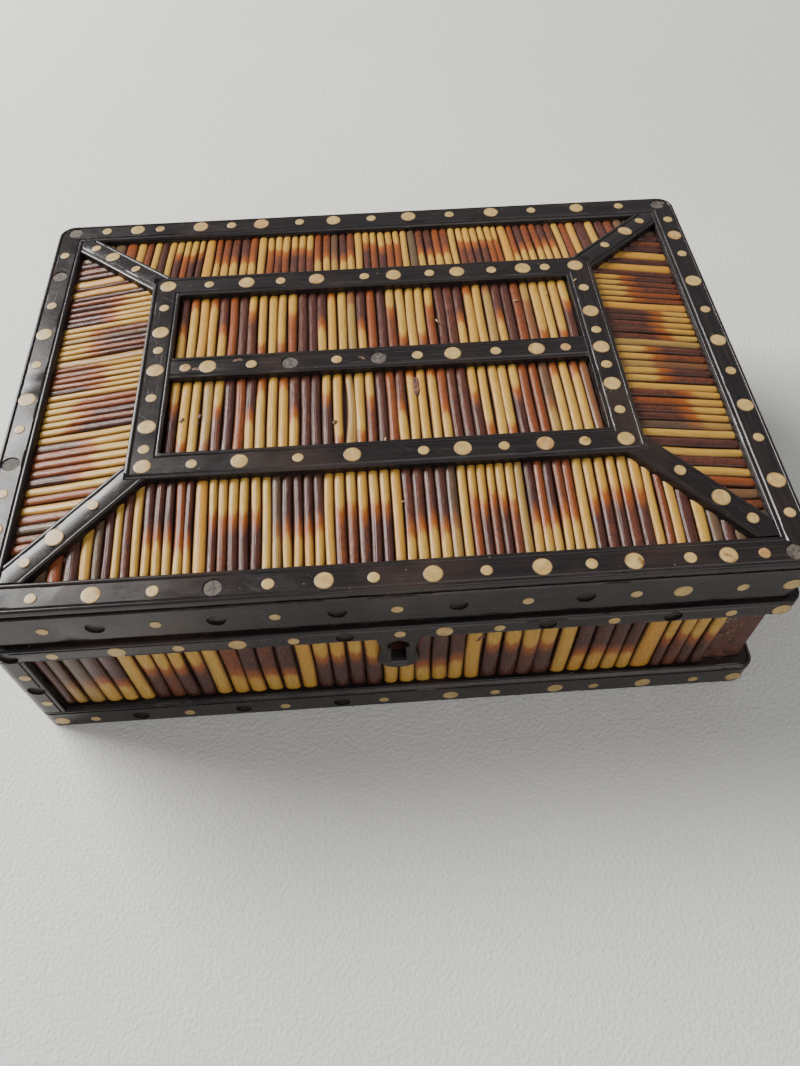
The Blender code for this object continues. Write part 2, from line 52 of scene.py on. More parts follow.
# Camera, as the photograph was taken
CAMERA_PLACE = (-0.00476, -0.21335, 0.28153)
CAMERA_DOWN = 55.06
CAMERA_YAW = 2.81
CAMERA_ROLL = 1.18
CAMERA_LENS = 28.02
CAMERA_SENSOR = 36.0

# The box, as in the solids
LID_LENGTH = 0.250
LID_DEPTH = 0.181
LID_FOOT = 0.0573
LID_TOP = 0.0776
LID_RISE = 0.0048
LID_CORNER_RADIUS = 0.006
RAISED_LENGTH = 0.164
RAISED_DEPTH = 0.0968
BASE_LENGTH = 0.2528
BASE_DEPTH = 0.1838
BASE_HEIGHT = 0.057
BASE_CORNER_RADIUS = 0.005
TOP_RAIL_HEIGHT = 0.0073
BOTTOM_RAIL_HEIGHT = 0.0118
STRIP_WIDTH = 0.0104
BAR_WIDTH = 0.0100
DIAGONAL_WIDTH = 0.0092
STRIP_THICKNESS = 0.0041
UPRIGHT_THICKNESS = 0.0046
REBATE_DEPTH = 0.0008
GAP = 0.0003
CLEARANCE = 0.0001
SEAM = 0.00004
DIAGONAL_LAP = 0.00012
INNER_LENGTH = LID_LENGTH - 2 * STRIP_WIDTH
INNER_DEPTH = LID_DEPTH - 2 * STRIP_WIDTH
RUN_X = (INNER_LENGTH - RAISED_LENGTH) / 2
RUN_Y = (INNER_DEPTH - RAISED_DEPTH) / 2
RAISED_TOP = LID_TOP + LID_RISE

# Mouldings of the ebony strips
BEAD_WIDTH = 0.0015
DIAGONAL_BEAD_WIDTH = 0.0014
GROOVE_WIDTH = 0.00035
GROOVE_DEPTH = 0.00042
EDGE_RADIUS = 0.0004
CHAMFER = 0.00012
PLAIN_FROM_EDGE = 0.0005

# Unevenness and chips of the strips
NOISE_SEED = 7
WANDER = 0.00004
CHIP_DEPTH = 0.00022
CHIP_BITE = 0.42
CHIPPED_BEND = 0.12

# Quills: how far their crests lie below the strips, how much wider a thick one is, the shortest one,
# and how far from a panel's corner the last one ends
SIDE_QUILL_RECESS = 0.0021
LID_QUILL_RECESS = 0.0020
THICK_QUILL_EXTRA = 0.16
SHORTEST_QUILL = 0.0003
LAST_QUILL_RUN = 0.0010

# Keyhole plate
PLATE_WIDTH = 0.0138
PLATE_NECK_WIDTH = 0.0112
PLATE_HEIGHT = 0.0206
PLATE_CHEEK_DROP = 0.0165
PLATE_TOP = BASE_HEIGHT - TOP_RAIL_HEIGHT - CLEARANCE
KEYHOLE_WIDTH = 0.0066
KEYHOLE_SLOT_WIDTH = 0.0046
KEYHOLE_HEIGHT = 0.0142
KEYHOLE_MARGIN = 0.0014

# How far up behind the plate the quills reach whose middles are this near to its own
PLATE_LAP = 0.0022
PLATE_CORE = 0.0054

# How finely shapes are cut
STATION_STEP = 0.0022
ARC_STEPS = 7
CUT_STEPS = 11
LENGTH_STEPS = 10
LUMP_RINGS = 7
LUMP_SIDES = 12

# Sockets of lost dots: each ring of the cutter as a share of the radius and a height
PLUG_SIDES = 22
PLUG_RINGS = ((1.06, 0.0012), (1.06, 0.00012), (0.98, -0.0001), (0.95, -0.0009), (0.55, -0.0011))

# Bone dots: radius of the big and the small ones
BIG_DOT = 0.0029
SMALL_DOT = 0.00186

# Where each row of dots runs
TOP_ROW_INSET = 0.0044
RAIL_ROW_X = 0.0767
RAIL_ROW_Y = 0.0433
EDGE_ROW_Z = 0.0659
RIM_ROW_Z = 0.0527
FOOT_ROW_Z = 0.0043
POST_ROW_INSET = 0.0068
BAR_ROW_Y = -0.0003

# Rows that the photograph doesn't show
PLAIN_ROW_PITCH = 0.0165
PLAIN_ROW_END = 0.0075
PLAIN_POST_ROW = "s38.6 B29.6 s20.3"

# Each row in millimetres from the box's middle: B big, s small, T and t big and small in tan bone,
# Y big and stained, X a lost dot whose socket is empty
LID_ROWS = {
    "front": "s-104.7 B-87.6 s-70 X-52.9 s-36.9 B-20.7 s-6.4 B10.9 s26.5 B42.8 s57.3 Y69.9 s86.4 Y97.7 "
             "t108.4 X117.6",
    "back": "X-118.7 s-106 B-93.7 s-84.7 B-68.3 s-55.9 T-43.8 s-28.3 B-14.6 s0.8 B16 s32.8 B49.9 s66.5 "
            "B85.2 s102.7 X118.7",
    "left": "s71.6 X59 s41.8 B26.2 s10.4 B-6.5 s-20 X-34.9 s-47.1 B-61 s-73.5",
    "right": "s75.5 T65 s53.3 B36.8 s20.5 B4.1 s-11.3 B-27.6 s-41.9 B-59.6 s-72.2",
}
RAIL_ROWS = {
    "back": "B-76.3 s-61.2 B-47.3 s-34.7 T-21.3 s-3.5 B7.4 s20.9 B31.2 s44.2 B56 s64.4 B75.9",
    "front": "B-76.4 s-61.1 B-46.2 s-27.9 B-10.8 s11.6 B24 s37.1 T50.2 s62.8 B75.9",
    "left": "s31.3 B18.3 s9 B-0.8 s-13.8 B-26.7 s-36.2",
    "right": "s30.4 B17.5 s7.6 B-1.2 s-9.7 B-18.8 s-30.7",
}
BAR_ROW = "t-66.6 B-58.9 s-44 X-30.9 s-14.8 X-0.5 s13 B25.2 s40.1 B54.3 t64.4"
EDGE_ROW = "s-104.8 X-89.4 s-71.6 X-53.7 s-36.4 X-17.9 s0 X18.4 s39.3 X56.8 s72.1 B86.2 s104.5 B119.6"
RIM_ROW = ("X-119.5 s-106.3 B-86.6 s-67.8 B-49.7 s-32.4 X-16.6 s0.6 B14.4 s31.7 X46.8 s67.7 X86.3 "
           "s104.7 B120.6")
FOOT_ROW = ("B-119.7 s-107.9 X-91.9 s-74.8 X-55.6 s-40.9 X-20.7 s-5.7 B18.1 s34.2 B55.8 s69.7 B87.6 "
            "s106 B120.8")
POST_ROW = "s39.3 X29.4 s19.5"
DIAGONAL_SHARES = ((0.19, SMALL_DOT), (0.43, BIG_DOT), (0.75, SMALL_DOT))

# The quills, side by side. D dark, W pale, Y pale and thick, T dark over its far or upper part,
# B dark over its near or lower part, A and a dark at the far end by half and by a tenth, C and c the
# same at the near end, G dull grey brown, x a brown stub, K pale grey and bent. A number after a colon is
# that quill's place in mm.
FRONT_QUILLS = ("D T:-110.6 TTT W:-87.2 BBBB W:-60.9 TTTT W:-30.9 BBBB W:-2.9 TTTT W:25.2 BBBB W:55.8 "
                "TTTT Y:85 BBBB")
FRONT_QUILLS_RANGE = (-116.0, 107.8)
LONG_SIDE_QUILLS = "TTTT W BBBB W TTTT W BBBB W TTTT W BBBB W TTTT W BBBB D"
SHORT_SIDE_QUILLS = "BBBB W TTTT W BBBB W TTTT W BBBB W TTTT"
LID_QUILLS = {
    "front": "xDD W:-91 GD W:-82.7 D W:-77 TTTTT Y:-58 BBBBB W:-38 TTTTT W:-18.7 BBBBB W:2 "
             "TTTTT W:23 BBBBB W:40.7 TTTTT W:59 BBBBB W:80.7 D W:86 D W:94 GDx",
    "back": "xGD W:-91 D W:-85 D W:-79 BBBB Y:-64 TTTTT W:-43 BBBBBB TTTTT W:-5 BBBBB W:13 "
            "GTTTT W:32.7 BBBBBB Y:53 TTTTTT W:75 D W:81 D W:89 DDGx",
    "left": "xDDD Y:56 D Y:50 D TTTTT W BBBBB Y:12 TTTTT W:-4.5 BBBBB W:-23.5 TTTTT W:-45 D W D GDDx",
    "right": "xDDD Y:55 D Y:47 D BBBBB Y:24.5 TTTTT W:4.5 BBBBB W:-17 TTTTT W:-38 D W:-46 D W:-54 "
             "DGDx",
}
INNER_BACK_QUILLS = "AaWaA DD CcWcC DD AaWaA DD CcWcC DD AaWaA DD CcWcC"
INNER_FRONT_QUILLS = "CcWcC DD AaWaA DD Cc K:-11.2 cC DD AaWaA DD CcWcC DD AaWaD"

# Where the dark part of each kind of quill starts, and which end is dark: far or near
DARK_FAR = {"T": 0.38, "A": 0.44, "a": 0.90, "D": -0.5, "W": 1.6, "Y": 1.6, "G": -0.5, "x": -0.5, "K": 1.6}
DARK_NEAR = {"B": 0.57, "C": 0.64, "c": 0.14}

# Small marks on the quills and the bar, in millimetres: holes, a gap's brown filling, worn places, a knot
# with its strokes (offset and half size), and pale flakes with the way that each lies
QUILL_HOLES = ((-66.5, -22.5), (-60.8, -21.3), (-60.9, -24.2), (-16.5, -27.4))
GAP_PLACE = (11.6, -12.5)
WORN_PLACES = ((-62.6, -0.9), (-60.9, -1.3), (-48.7, 2.2), (-5.8, -0.2))
KNOT_PLACE = (26.3, 42.0)
KNOT = ((0.0, 0.0, 0.5, 1.1), (0.9, 0.9, 0.9, 0.4), (1.4, 2.0, 0.35, 0.9), (-0.6, -1.0, 0.7, 0.35))
FLAKES = ((51.2, 27.5, 80.5, 10.0), (63.0, 30.8, 80.6, 60.0), (21.5, 18.7, 80.6, -65.0),
          (-0.1, -36.2, 80.6, 80.0), (74.2, 34.8, 82.5, 40.0), (-27.8, -57.7, 78.0, -70.0),
          (3.7, -59.7, 78.0, 20.0))
LUMP_SEEDS = (0, 40)

# Two directions along a surface and the way out of it
TOP_AXES = ((1.0, 0.0, 0.0), (0.0, 1.0, 0.0), (0.0, 0.0, 1.0))
FRONT_AXES = ((1.0, 0.0, 0.0), (0.0, 0.0, 1.0), (0.0, -1.0, 0.0))
END_AXES = ((0.0, 1.0, 0.0), (0.0, 0.0, 1.0), (1.0, 0.0, 0.0))

# Lights: name, place, target, size, power, colour
LIGHTS = (("window", (-1.36, 0.88, 1.30), (0.0, 0.0, 0.04), (1.3, 0.8), 98.0, (1.0, 0.985, 0.955)),
          ("room", (0.5, -1.3, 1.3), (0.0, 0.0, 0.0), (1.6, 1.2), 13.0, (1.0, 0.95, 0.91)))
SKY_COLOR = (0.95, 0.98, 1.0, 1.0)
SKY_STRENGTH = 0.31

# The sides by the way that they face, and the posts that are left
SIDES = {"right": 0.0, "back": 90.0, "left": 180.0, "front": 270.0}
FACING = {side: Vector((math.cos(math.radians(turn)), math.sin(math.radians(turn)), 0.0))
          for side, turn in SIDES.items()}
ALONG = {side: Vector((-way.y, way.x, 0.0)) for side, way in FACING.items()}
LONG_SIDES = ("front", "back")
POSTS = (("front_left", -1, -1), ("back_left", -1, 1), ("back_right", 1, 1))


def place_camera():
    """The camera, turned by its tilt below the level, its heading and its roll."""
    down, yaw, roll = (math.radians(angle) for angle in (CAMERA_DOWN, CAMERA_YAW, CAMERA_ROLL))
    forward = Vector((math.sin(yaw) * math.cos(down), math.cos(yaw) * math.cos(down), -math.sin(down)))
    level = Vector((math.cos(yaw), -math.sin(yaw), 0.0))
    low = forward.cross(level)
    right = level * math.cos(roll) + low * math.sin(roll)
    under = low * math.cos(roll) - level * math.sin(roll)
    turn = Matrix((right, -under, -forward)).transposed().to_4x4()
    data = bpy.data.cameras.new("camera")
    data.lens = CAMERA_LENS
    data.sensor_width = CAMERA_SENSOR
    data.clip_start = 0.01
    camera = bpy.data.objects.new("camera", data)
    camera.matrix_world = Matrix.Translation(CAMERA_PLACE) @ turn
    bpy.context.scene.collection.objects.link(camera)
    bpy.context.scene.camera = camera


# Materials

class Nodes:
    """Builds a material node by node."""

    def __init__(self, name):
        self.material = bpy.data.materials.new(name)
        self.material.use_nodes = True
        self.tree = self.material.node_tree
        self.shader = self.tree.nodes["Principled BSDF"]

    def add(self, kind, sockets=None, **settings):
        node = self.tree.nodes.new("ShaderNode" + kind)
        for key, value in settings.items():
            setattr(node, key, value)
        for key, value in (sockets or {}).items():
            self.set(node.inputs[key], value)
        return node

    def set(self, socket, value):
        if isinstance(value, bpy.types.NodeSocket):
            self.tree.links.new(value, socket)
        else:
            socket.default_value = value

    def surface(self, **values):
        for key, value in values.items():
            self.set(self.shader.inputs[key.replace("_", " ")], value)

    def place(self, name=None):
        """The vector that the mesh carries under a name, or else the place on the object."""
        if name:
            return self.add("Attribute", attribute_name=name).outputs["Vector"]
        return self.add("TexCoord").outputs["Object"]

    def parts(self, vector):
        return self.add("SeparateXYZ", {"Vector": vector}).outputs

    def scaled(self, vector, scale):
        return self.add("VectorMath", {0: vector, 1: scale}, operation="MULTIPLY").outputs["Vector"]

    def noise(self, vector, scale, detail=3.0, rough=0.5):
        return self.add("TexNoise", {"Vector": vector, "Scale": scale, "Detail": detail,
                                     "Roughness": rough}).outputs["Fac"]

    def math(self, kind, a, b=0.0):
        return self.add("Math", {0: a, 1: b}, operation=kind).outputs[0]

    def times(self, a, b):
        return self.math("MULTIPLY", a, b)

    def plus(self, a, b):
        return self.math("ADD", a, b)

    def minus(self, a, b):
        return self.math("SUBTRACT", a, b)

    def most(self, a, b):
        return self.math("MAXIMUM", a, b)

    def join(self, x, y, z):
        return self.add("CombineXYZ", {"X": x, "Y": y, "Z": z}).outputs[0]

    def span(self, value, low, high, to_low=0.0, to_high=1.0):
        return self.add("MapRange", {"Value": value, "From Min": low, "From Max": high, "To Min": to_low,
                                     "To Max": to_high}, interpolation_type="SMOOTHSTEP").outputs["Result"]

    def mix(self, share, first, second):
        node = self.add("Mix", data_type="RGBA")
        self.set(node.inputs["Factor"], share)
        for socket, value in ((node.inputs[6], first), (node.inputs[7], second)):
            self.set(socket, value if isinstance(value, bpy.types.NodeSocket) else (*value, 1.0))
        return node.outputs[2]

    def bump(self, height, strength, distance, below=None):
        sockets = {"Height": height, "Strength": strength, "Distance": distance}
        if below is not None:
            sockets["Normal"] = below
        return self.add("Bump", sockets).outputs["Normal"]


def ebony_material():
    """Near-black ebony with brown patches, fine scratches, dusty grooves and worn edges."""
    n = Nodes("ebony_worn")
    spot = n.place()
    grain = n.place("strip_grain")
    ridge = n.parts(n.place("strip_wear"))["X"]
    patch = n.noise(spot, 22.0, 4.0, 0.6)
    streak = n.noise(n.scaled(grain, (30.0, 900.0, 900.0)), 1.0, 4.0, 0.65)
    color = n.mix(n.span(streak, 0.35, 0.7), (0.0100, 0.0085, 0.0092), (0.021, 0.0145, 0.0140))
    color = n.mix(n.span(patch, 0.50, 0.72, 0.0, 0.75), color, (0.040, 0.024, 0.018))
    scratch_one = n.noise(n.scaled(grain, (60.0, 2600.0, 2600.0)), 1.0, 2.0, 0.5)
    turned = n.add("VectorRotate", {"Vector": spot, "Angle": 0.6}, rotation_type="Z_AXIS").outputs["Vector"]
    scratch_two = n.noise(n.scaled(turned, (90.0, 2400.0, 300.0)), 1.0, 2.0, 0.5)
    scratches = n.most(n.span(scratch_one, 0.66, 0.74), n.span(scratch_two, 0.70, 0.77))
    color = n.mix(n.times(scratches, 0.35), color, (0.085, 0.075, 0.070))
    worn = n.times(n.span(ridge, 0.10, 0.35), n.span(n.noise(spot, 160.0, 3.0), 0.45, 0.66))
    color = n.mix(n.times(worn, 0.55), color, (0.085, 0.068, 0.058))
    dusty = n.times(n.span(ridge, -0.08, -0.30), n.span(n.noise(spot, 90.0, 3.0), 0.35, 0.65))
    color = n.mix(n.times(dusty, 0.5), color, (0.075, 0.060, 0.050))
    specks = n.add("TexVoronoi", {"Vector": spot, "Scale": 420.0, "Randomness": 1.0}, feature="F1").outputs
    near = n.span(specks["Distance"], 0.11, 0.05)
    few = n.span(n.noise(spot, 75.0, 2.0), 0.60, 0.66)
    speck = n.times(near, few)
    color = n.mix(n.times(speck, 0.7), color, (0.30, 0.27, 0.24))
    smear = n.noise(spot, 60.0, 5.0, 0.7)
    rough = n.plus(n.span(smear, 0.3, 0.75, 0.19, 0.35), n.times(scratches, 0.18))
    rough = n.plus(rough, n.times(n.most(worn, dusty), 0.22))
    low_waves = n.bump(n.noise(spot, 45.0, 2.0), 0.25, 0.0006)
    fine = n.minus(n.times(streak, 0.5), scratches)
    normal = n.bump(fine, 0.22, 0.00006, low_waves)
    n.surface(Base_Color=color, Roughness=rough, Normal=normal)
    n.shader.inputs["Specular IOR Level"].default_value = 0.36
    return n.material


def bone_material():
    """Aged bone: cream or tan, with pores, stains, fine cracks and a dirty rim."""
    n = Nodes("bone_aged")
    spot = n.place()
    look = n.parts(n.place("dot_look"))
    cloud = n.noise(spot, 420.0, 4.0, 0.6)
    cream = n.mix(n.span(cloud, 0.35, 0.7), (0.39, 0.26, 0.092), (0.50, 0.35, 0.138))
    tan = n.mix(n.span(cloud, 0.3, 0.7), (0.28, 0.135, 0.045), (0.48, 0.29, 0.12))
    color = n.mix(look["Y"], cream, tan)
    stain = n.times(n.span(n.noise(spot, 230.0, 3.0, 0.6), 0.56, 0.70), look["Z"])
    color = n.mix(stain, color, (0.16, 0.075, 0.02))
    pores = n.span(n.noise(spot, 2600.0, 2.0, 0.5), 0.66, 0.74)
    color = n.mix(n.times(pores, 0.4), color, (0.24, 0.16, 0.08))
    wander = n.plus(look["X"], n.times(n.noise(spot, 700.0, 2.0), 0.16))
    rim = n.span(wander, 0.93, 1.06)
    color = n.mix(n.times(rim, 0.75), color, (0.085, 0.045, 0.02))
    cells = n.add("TexVoronoi", {"Vector": spot, "Scale": 330.0}, feature="DISTANCE_TO_EDGE").outputs
    crack = cells["Distance"]
    cracked = n.times(n.span(crack, 0.022, 0.006), n.span(n.noise(spot, 60.0, 2.0), 0.50, 0.60))
    color = n.mix(n.times(cracked, 0.6), color, (0.20, 0.12, 0.05))
    height = n.minus(n.times(cloud, 0.4), n.most(pores, cracked))
    n.surface(Base_Color=color, Roughness=n.span(cloud, 0.3, 0.7, 0.30, 0.46),
              Normal=n.bump(height, 0.25, 0.00006))
    return n.material


def quill_material():
    """Split quill: pale and dark lengths that meet in a ragged amber band, streaked along its length."""
    n = Nodes("quill_split")
    place = n.place("quill_place")
    u, along, length = n.parts(place)
    split, sense, tone = n.parts(n.place("quill_mark"))
    yellow, grey, seed = n.parts(n.place("quill_look"))
    offset = n.join(seed, n.times(seed, 7.0), seed)
    flow = n.join(n.times(u, 1.5), n.times(n.times(along, length), 0.07), seed)
    flow = n.add("VectorMath", {0: flow, 1: offset}, operation="ADD").outputs["Vector"]
    streak = n.noise(flow, 2.6, 4.0, 0.65)
    fine = n.noise(n.scaled(flow, (3.0, 1.6, 1.0)), 3.4, 3.0, 0.6)
    blotch = n.noise(n.scaled(flow, (0.5, 7.0, 1.0)), 1.6, 3.0, 0.6)
    side = n.math("ABSOLUTE", u)
    arch = n.times(n.times(u, u), 3.2)
    ragged = n.times(n.minus(streak, 0.5), 4.2)
    reach = n.times(n.times(n.minus(along, split), sense), length)
    depth = n.plus(n.plus(reach, arch), ragged)
    pale = n.mix(n.span(streak, 0.30, 0.72), (0.50, 0.315, 0.066), (0.36, 0.19, 0.031))
    pale = n.mix(yellow, pale, n.mix(n.span(fine, 0.3, 0.7), (0.52, 0.265, 0.042), (0.38, 0.16, 0.022)))
    # Painted shade: the pale parts turn darker amber towards each side of the rounded quill.
    pale = n.mix(n.span(side, 0.40, 0.98, 0.0, 0.65), pale, (0.36, 0.165, 0.032))
    pale = n.mix(n.times(n.span(fine, 0.60, 0.74), 0.35), pale, (0.24, 0.12, 0.035))
    orange = n.mix(n.span(fine, 0.3, 0.7), (0.32, 0.095, 0.016), (0.19, 0.045, 0.010))
    purple = n.mix(n.span(streak, 0.3, 0.7), (0.046, 0.0185, 0.016), (0.092, 0.033, 0.023))
    redness = n.span(n.plus(tone, n.times(n.minus(blotch, 0.5), 0.9)), 0.35, 1.05)
    dark = n.mix(redness, purple,
                 n.mix(n.span(fine, 0.3, 0.7), (0.25, 0.068, 0.016), (0.15, 0.036, 0.012)))
    color = n.mix(n.span(depth, -3.2, 0.8), pale, orange)
    color = n.mix(n.span(depth, 0.2, 7.0), color, dark)
    color = n.mix(n.times(grey, 0.8), color, n.mix(fine, (0.17, 0.125, 0.060), (0.07, 0.048, 0.034)))
    # Painted shade: each quill darkens to near black towards its sides, where it meets the next one.
    painted_crevice_shade = n.times(n.span(side, 0.70, 0.98), n.span(blotch, 0.25, 0.6, 0.7, 0.97))
    color = n.mix(painted_crevice_shade, color, (0.030, 0.012, 0.0085))
    dust = n.times(n.span(side, 0.45, 0.8), n.span(n.noise(n.place(), 240.0, 4.0, 0.7), 0.5, 0.72))
    color = n.mix(n.times(dust, 0.35), color, (0.13, 0.075, 0.04))
    pit = n.span(n.noise(n.place(), 1500.0, 2.0), 0.70, 0.76)
    color = n.mix(n.times(pit, 0.5), color, (0.09, 0.04, 0.015))
    flute = n.noise(n.join(n.times(u, 3.4), n.times(along, 0.25), seed), 1.6, 2.0, 0.5)
    height = n.plus(n.times(streak, 0.5), n.times(fine, 0.3))
    height = n.plus(height, n.times(flute, 1.6))
    height = n.minus(height, n.times(pit, 0.5))
    rough = n.plus(n.span(streak, 0.3, 0.7, 0.17, 0.30), n.times(painted_crevice_shade, 0.3))
    n.surface(Base_Color=color, Roughness=rough, Normal=n.bump(height, 0.5, 0.00020))
    n.shader.inputs["Specular IOR Level"].default_value = 0.3
    return n.material


def wood_material(name, light, dark, scale, dull):
    """Bare reddish wood with grain along X and dark pores."""
    n = Nodes(name)
    spot = n.place()
    grain = n.noise(n.scaled(spot, (12.0, 190.0, 190.0)), scale, 5.0, 0.65)
    color = n.mix(n.span(grain, 0.3, 0.7), dark, light)
    patch = n.noise(spot, 55.0, 5.0, 0.7)
    color = n.mix(n.span(patch, 0.5, 0.75, 0.0, 0.7), color, tuple(0.4 * value for value in dark))
    pores = n.span(n.noise(n.scaled(spot, (120.0, 1900.0, 1900.0)), 1.0, 2.0), 0.62, 0.70)
    color = n.mix(n.times(pores, 0.6), color, (0.012, 0.006, 0.004))
    height = n.minus(n.times(grain, 0.6), n.times(pores, 0.6))
    height = n.plus(height, patch)
    n.surface(Base_Color=color, Roughness=n.span(patch, 0.3, 0.7, dull - 0.15, dull + 0.1),
              Normal=n.bump(height, 0.5, 0.0002))
    return n.material


def dirt_material():
    """Old glue, dust and splinters."""
    n = Nodes("glue_and_dust")
    spot = n.place()
    lump = n.noise(spot, 300.0, 5.0, 0.7)
    color = n.mix(n.span(lump, 0.35, 0.7), (0.040, 0.015, 0.011), (0.15, 0.056, 0.030))
    color = n.mix(n.span(n.noise(spot, 900.0, 3.0), 0.60, 0.72), color, (0.30, 0.20, 0.12))
    n.surface(Base_Color=color, Roughness=n.span(lump, 0.3, 0.7, 0.45, 0.8),
              Normal=n.bump(lump, 0.6, 0.0004))
    return n.material


def socket_material():
    """The rough grey bottom of an empty socket."""
    n = Nodes("socket_floor")
    spot = n.place()
    lump = n.noise(spot, 900.0, 4.0, 0.7)
    color = n.mix(n.span(lump, 0.35, 0.65), (0.030, 0.024, 0.022), (0.13, 0.105, 0.085))
    n.surface(Base_Color=color, Roughness=n.span(lump, 0.3, 0.7, 0.6, 0.85),
              Normal=n.bump(lump, 0.7, 0.0004))
    return n.material


def floor_material():
    """A pale matt surface with a fine uneven grain."""
    n = Nodes("pale_floor")
    spot = n.place()
    cloud = n.noise(spot, 5.0, 3.0)
    color = n.mix(n.span(cloud, 0.3, 0.7), (0.635, 0.635, 0.615), (0.67, 0.67, 0.645))
    cells = n.noise(spot, 760.0, 2.0, 0.55)
    broad = n.noise(spot, 210.0, 3.0, 0.6)
    height = n.plus(n.times(cells, 0.7), n.times(broad, 0.15))
    n.surface(Base_Color=color, Roughness=n.span(cells, 0.3, 0.7, 0.62, 0.75),
              Normal=n.bump(height, 0.6, 0.0012))
    return n.material


# Meshes

def raised(height):
    return Vector((0.0, 0.0, height))


def turns_round(sides):
    """Angles evenly round a circle."""
    return [2 * math.pi * k / sides for k in range(sides)]


def turn_outwards(mesh):
    bmesh.ops.recalc_face_normals(mesh, faces=mesh.faces)


def make_object(name, mesh):
    """Puts a bmesh into the scene."""
    data = bpy.data.meshes.new(name)
    mesh.to_mesh(data)
    mesh.free()
    item = bpy.data.objects.new(name, data)
    bpy.context.scene.collection.objects.link(item)
    return item


def make_piece(name, mesh, material, stands_for=(), sharp=38.0):
    """Turns a bmesh into a piece of the box, smooth but for its sharp edges."""
    piece = make_object(name, mesh)
    piece.data.materials.append(material)
    piece.data.shade_smooth()
    piece.data.set_sharp_from_angle(angle=math.radians(sharp))
    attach(piece, "root")
    if stands_for:
        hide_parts(*stands_for)


def join_rings(mesh, rings):
    """Faces between rings of vertices, with both ends closed."""
    for ring, following in zip(rings, rings[1:]):
        for k in range(len(ring)):
            after = (k + 1) % len(ring)
            mesh.faces.new((ring[k], ring[after], following[after], following[k]))
    mesh.faces.new(rings[0])
    mesh.faces.new(rings[-1])


def add_tube(mesh, rings):
    """A closed tube through rings of points."""
    join_rings(mesh, [[mesh.verts.new(point) for point in ring] for ring in rings])


def tube(rings):
    """A mesh that is one closed tube through rings of points."""
    mesh = bmesh.new()
    add_tube(mesh, rings)
    turn_outwards(mesh)
    return mesh


def corner_point(half_x, half_y, radius, inset, corner, angle):
    """A point on a frame's corner, rounded outside and sharp from half the radius inwards."""
    sign_x = 1.0 if math.cos(math.radians(corner)) > 0 else -1.0
    sign_y = 1.0 if math.sin(math.radians(corner)) > 0 else -1.0
    reach = radius if inset < radius / 2 else inset
    bend = reach - inset
    turn = math.radians(angle)
    return Vector((sign_x * (half_x - reach) + bend * math.cos(turn),
                   sign_y * (half_y - reach) + bend * math.sin(turn), 0.0))


def frame_side(side, half_x, half_y, radius, profile):
    """One mitred side of a frame as a bmesh, with many stations along it."""
    normal = SIDES[side]
    seam = ALONG[side] * SEAM
    turns = [45.0 * k / ARC_STEPS for k in range(ARC_STEPS + 1)] if radius > 0 else [0.0]
    start = [[corner_point(half_x, half_y, radius, inset, normal - 45.0, normal - 45.0 + turned)
              + seam + raised(z) for inset, z in profile] for turned in turns]
    stop = [[corner_point(half_x, half_y, radius, inset, normal + 45.0, normal + 45.0 - turned)
             - seam + raised(z) for inset, z in profile] for turned in reversed(turns)]
    steps = max(2, round((stop[0][0] - start[-1][0]).length / STATION_STEP))
    middle = [[a.lerp(b, k / steps) for a, b in zip(start[-1], stop[0])] for k in range(1, steps)]
    mesh = bmesh.new()
    add_tube(mesh, start + middle + stop)
    bmesh.ops.remove_doubles(mesh, verts=mesh.verts, dist=1e-6)
    turn_outwards(mesh)
    return mesh


def bead(start, width, top, dip, steps=6):
    """Points over a rounded bead that starts dip below top and ends there."""
    points = []
    for k in range(steps + 1):
        turn = math.pi * k / steps
        points.append((start + width / 2 * (1 - math.cos(turn)), top - dip * (1 - math.sin(turn))))
    return points


def quarter(inset, top, radius, steps=4):
    """Points over a rounded outer edge, from the side to the top."""
    return [(inset + radius * (1 - math.cos(math.pi / 2 * k / steps)),
             top - radius * (1 - math.sin(math.pi / 2 * k / steps))) for k in range(steps + 1)]


def flat_top(start, stop, top):
    """A flat with a tiny chamfer at each edge, and points near them that keep its middle plain."""
    return [(start, top - CHAMFER), (start + CHAMFER, top), (start + PLAIN_FROM_EDGE, top),
            (stop - PLAIN_FROM_EDGE, top), (stop - CHAMFER, top), (stop, top - CHAMFER)]


def strip_section(width, low, top, bead_width):
    """A strip with a bead along both edges, its section given from the outer side inwards."""
    edge = [(0.0, low)] + quarter(0.0, top, EDGE_RADIUS)[:-1]
    edge += bead(EDGE_RADIUS, bead_width - EDGE_RADIUS, top, GROOVE_DEPTH)[3:]
    flat_start = bead_width + GROOVE_WIDTH
    far_edge = [(width - inset, z) for inset, z in reversed(edge)]
    return edge + flat_top(flat_start, width - flat_start, top) + far_edge


def roughen(mesh, seed):
    """Hand-made unevenness, and chips along the convex edges."""
    mesh.normal_update()
    shift = Vector((seed * 3.7, seed * 1.3, seed * 2.1))
    moves = []
    for vert in mesh.verts:
        spot = vert.co
        move = noise.noise_vector(spot * 130.0 + shift) * WANDER
        if edge_bend(vert) > CHIPPED_BEND:
            bite = noise.noise(spot * 420.0 + shift) + 0.5 * noise.noise(spot * 110.0 - shift)
            if bite > CHIP_BITE:
                move -= vert.normal * min(1.0, (bite - CHIP_BITE) * 3.0) * CHIP_DEPTH
        moves.append((vert, move))
    for vert, move in moves:
        vert.co += move


def edge_bend(vert):
    """How far the surface turns at a vertex: above zero on a ridge, below it in a groove."""
    total = 0.0
    for edge in vert.link_edges:
        way = edge.other_vert(vert).co - vert.co
        if way.length > 1e-9:
            total -= vert.normal.dot(way.normalized())
    return total / max(1, len(vert.link_edges))


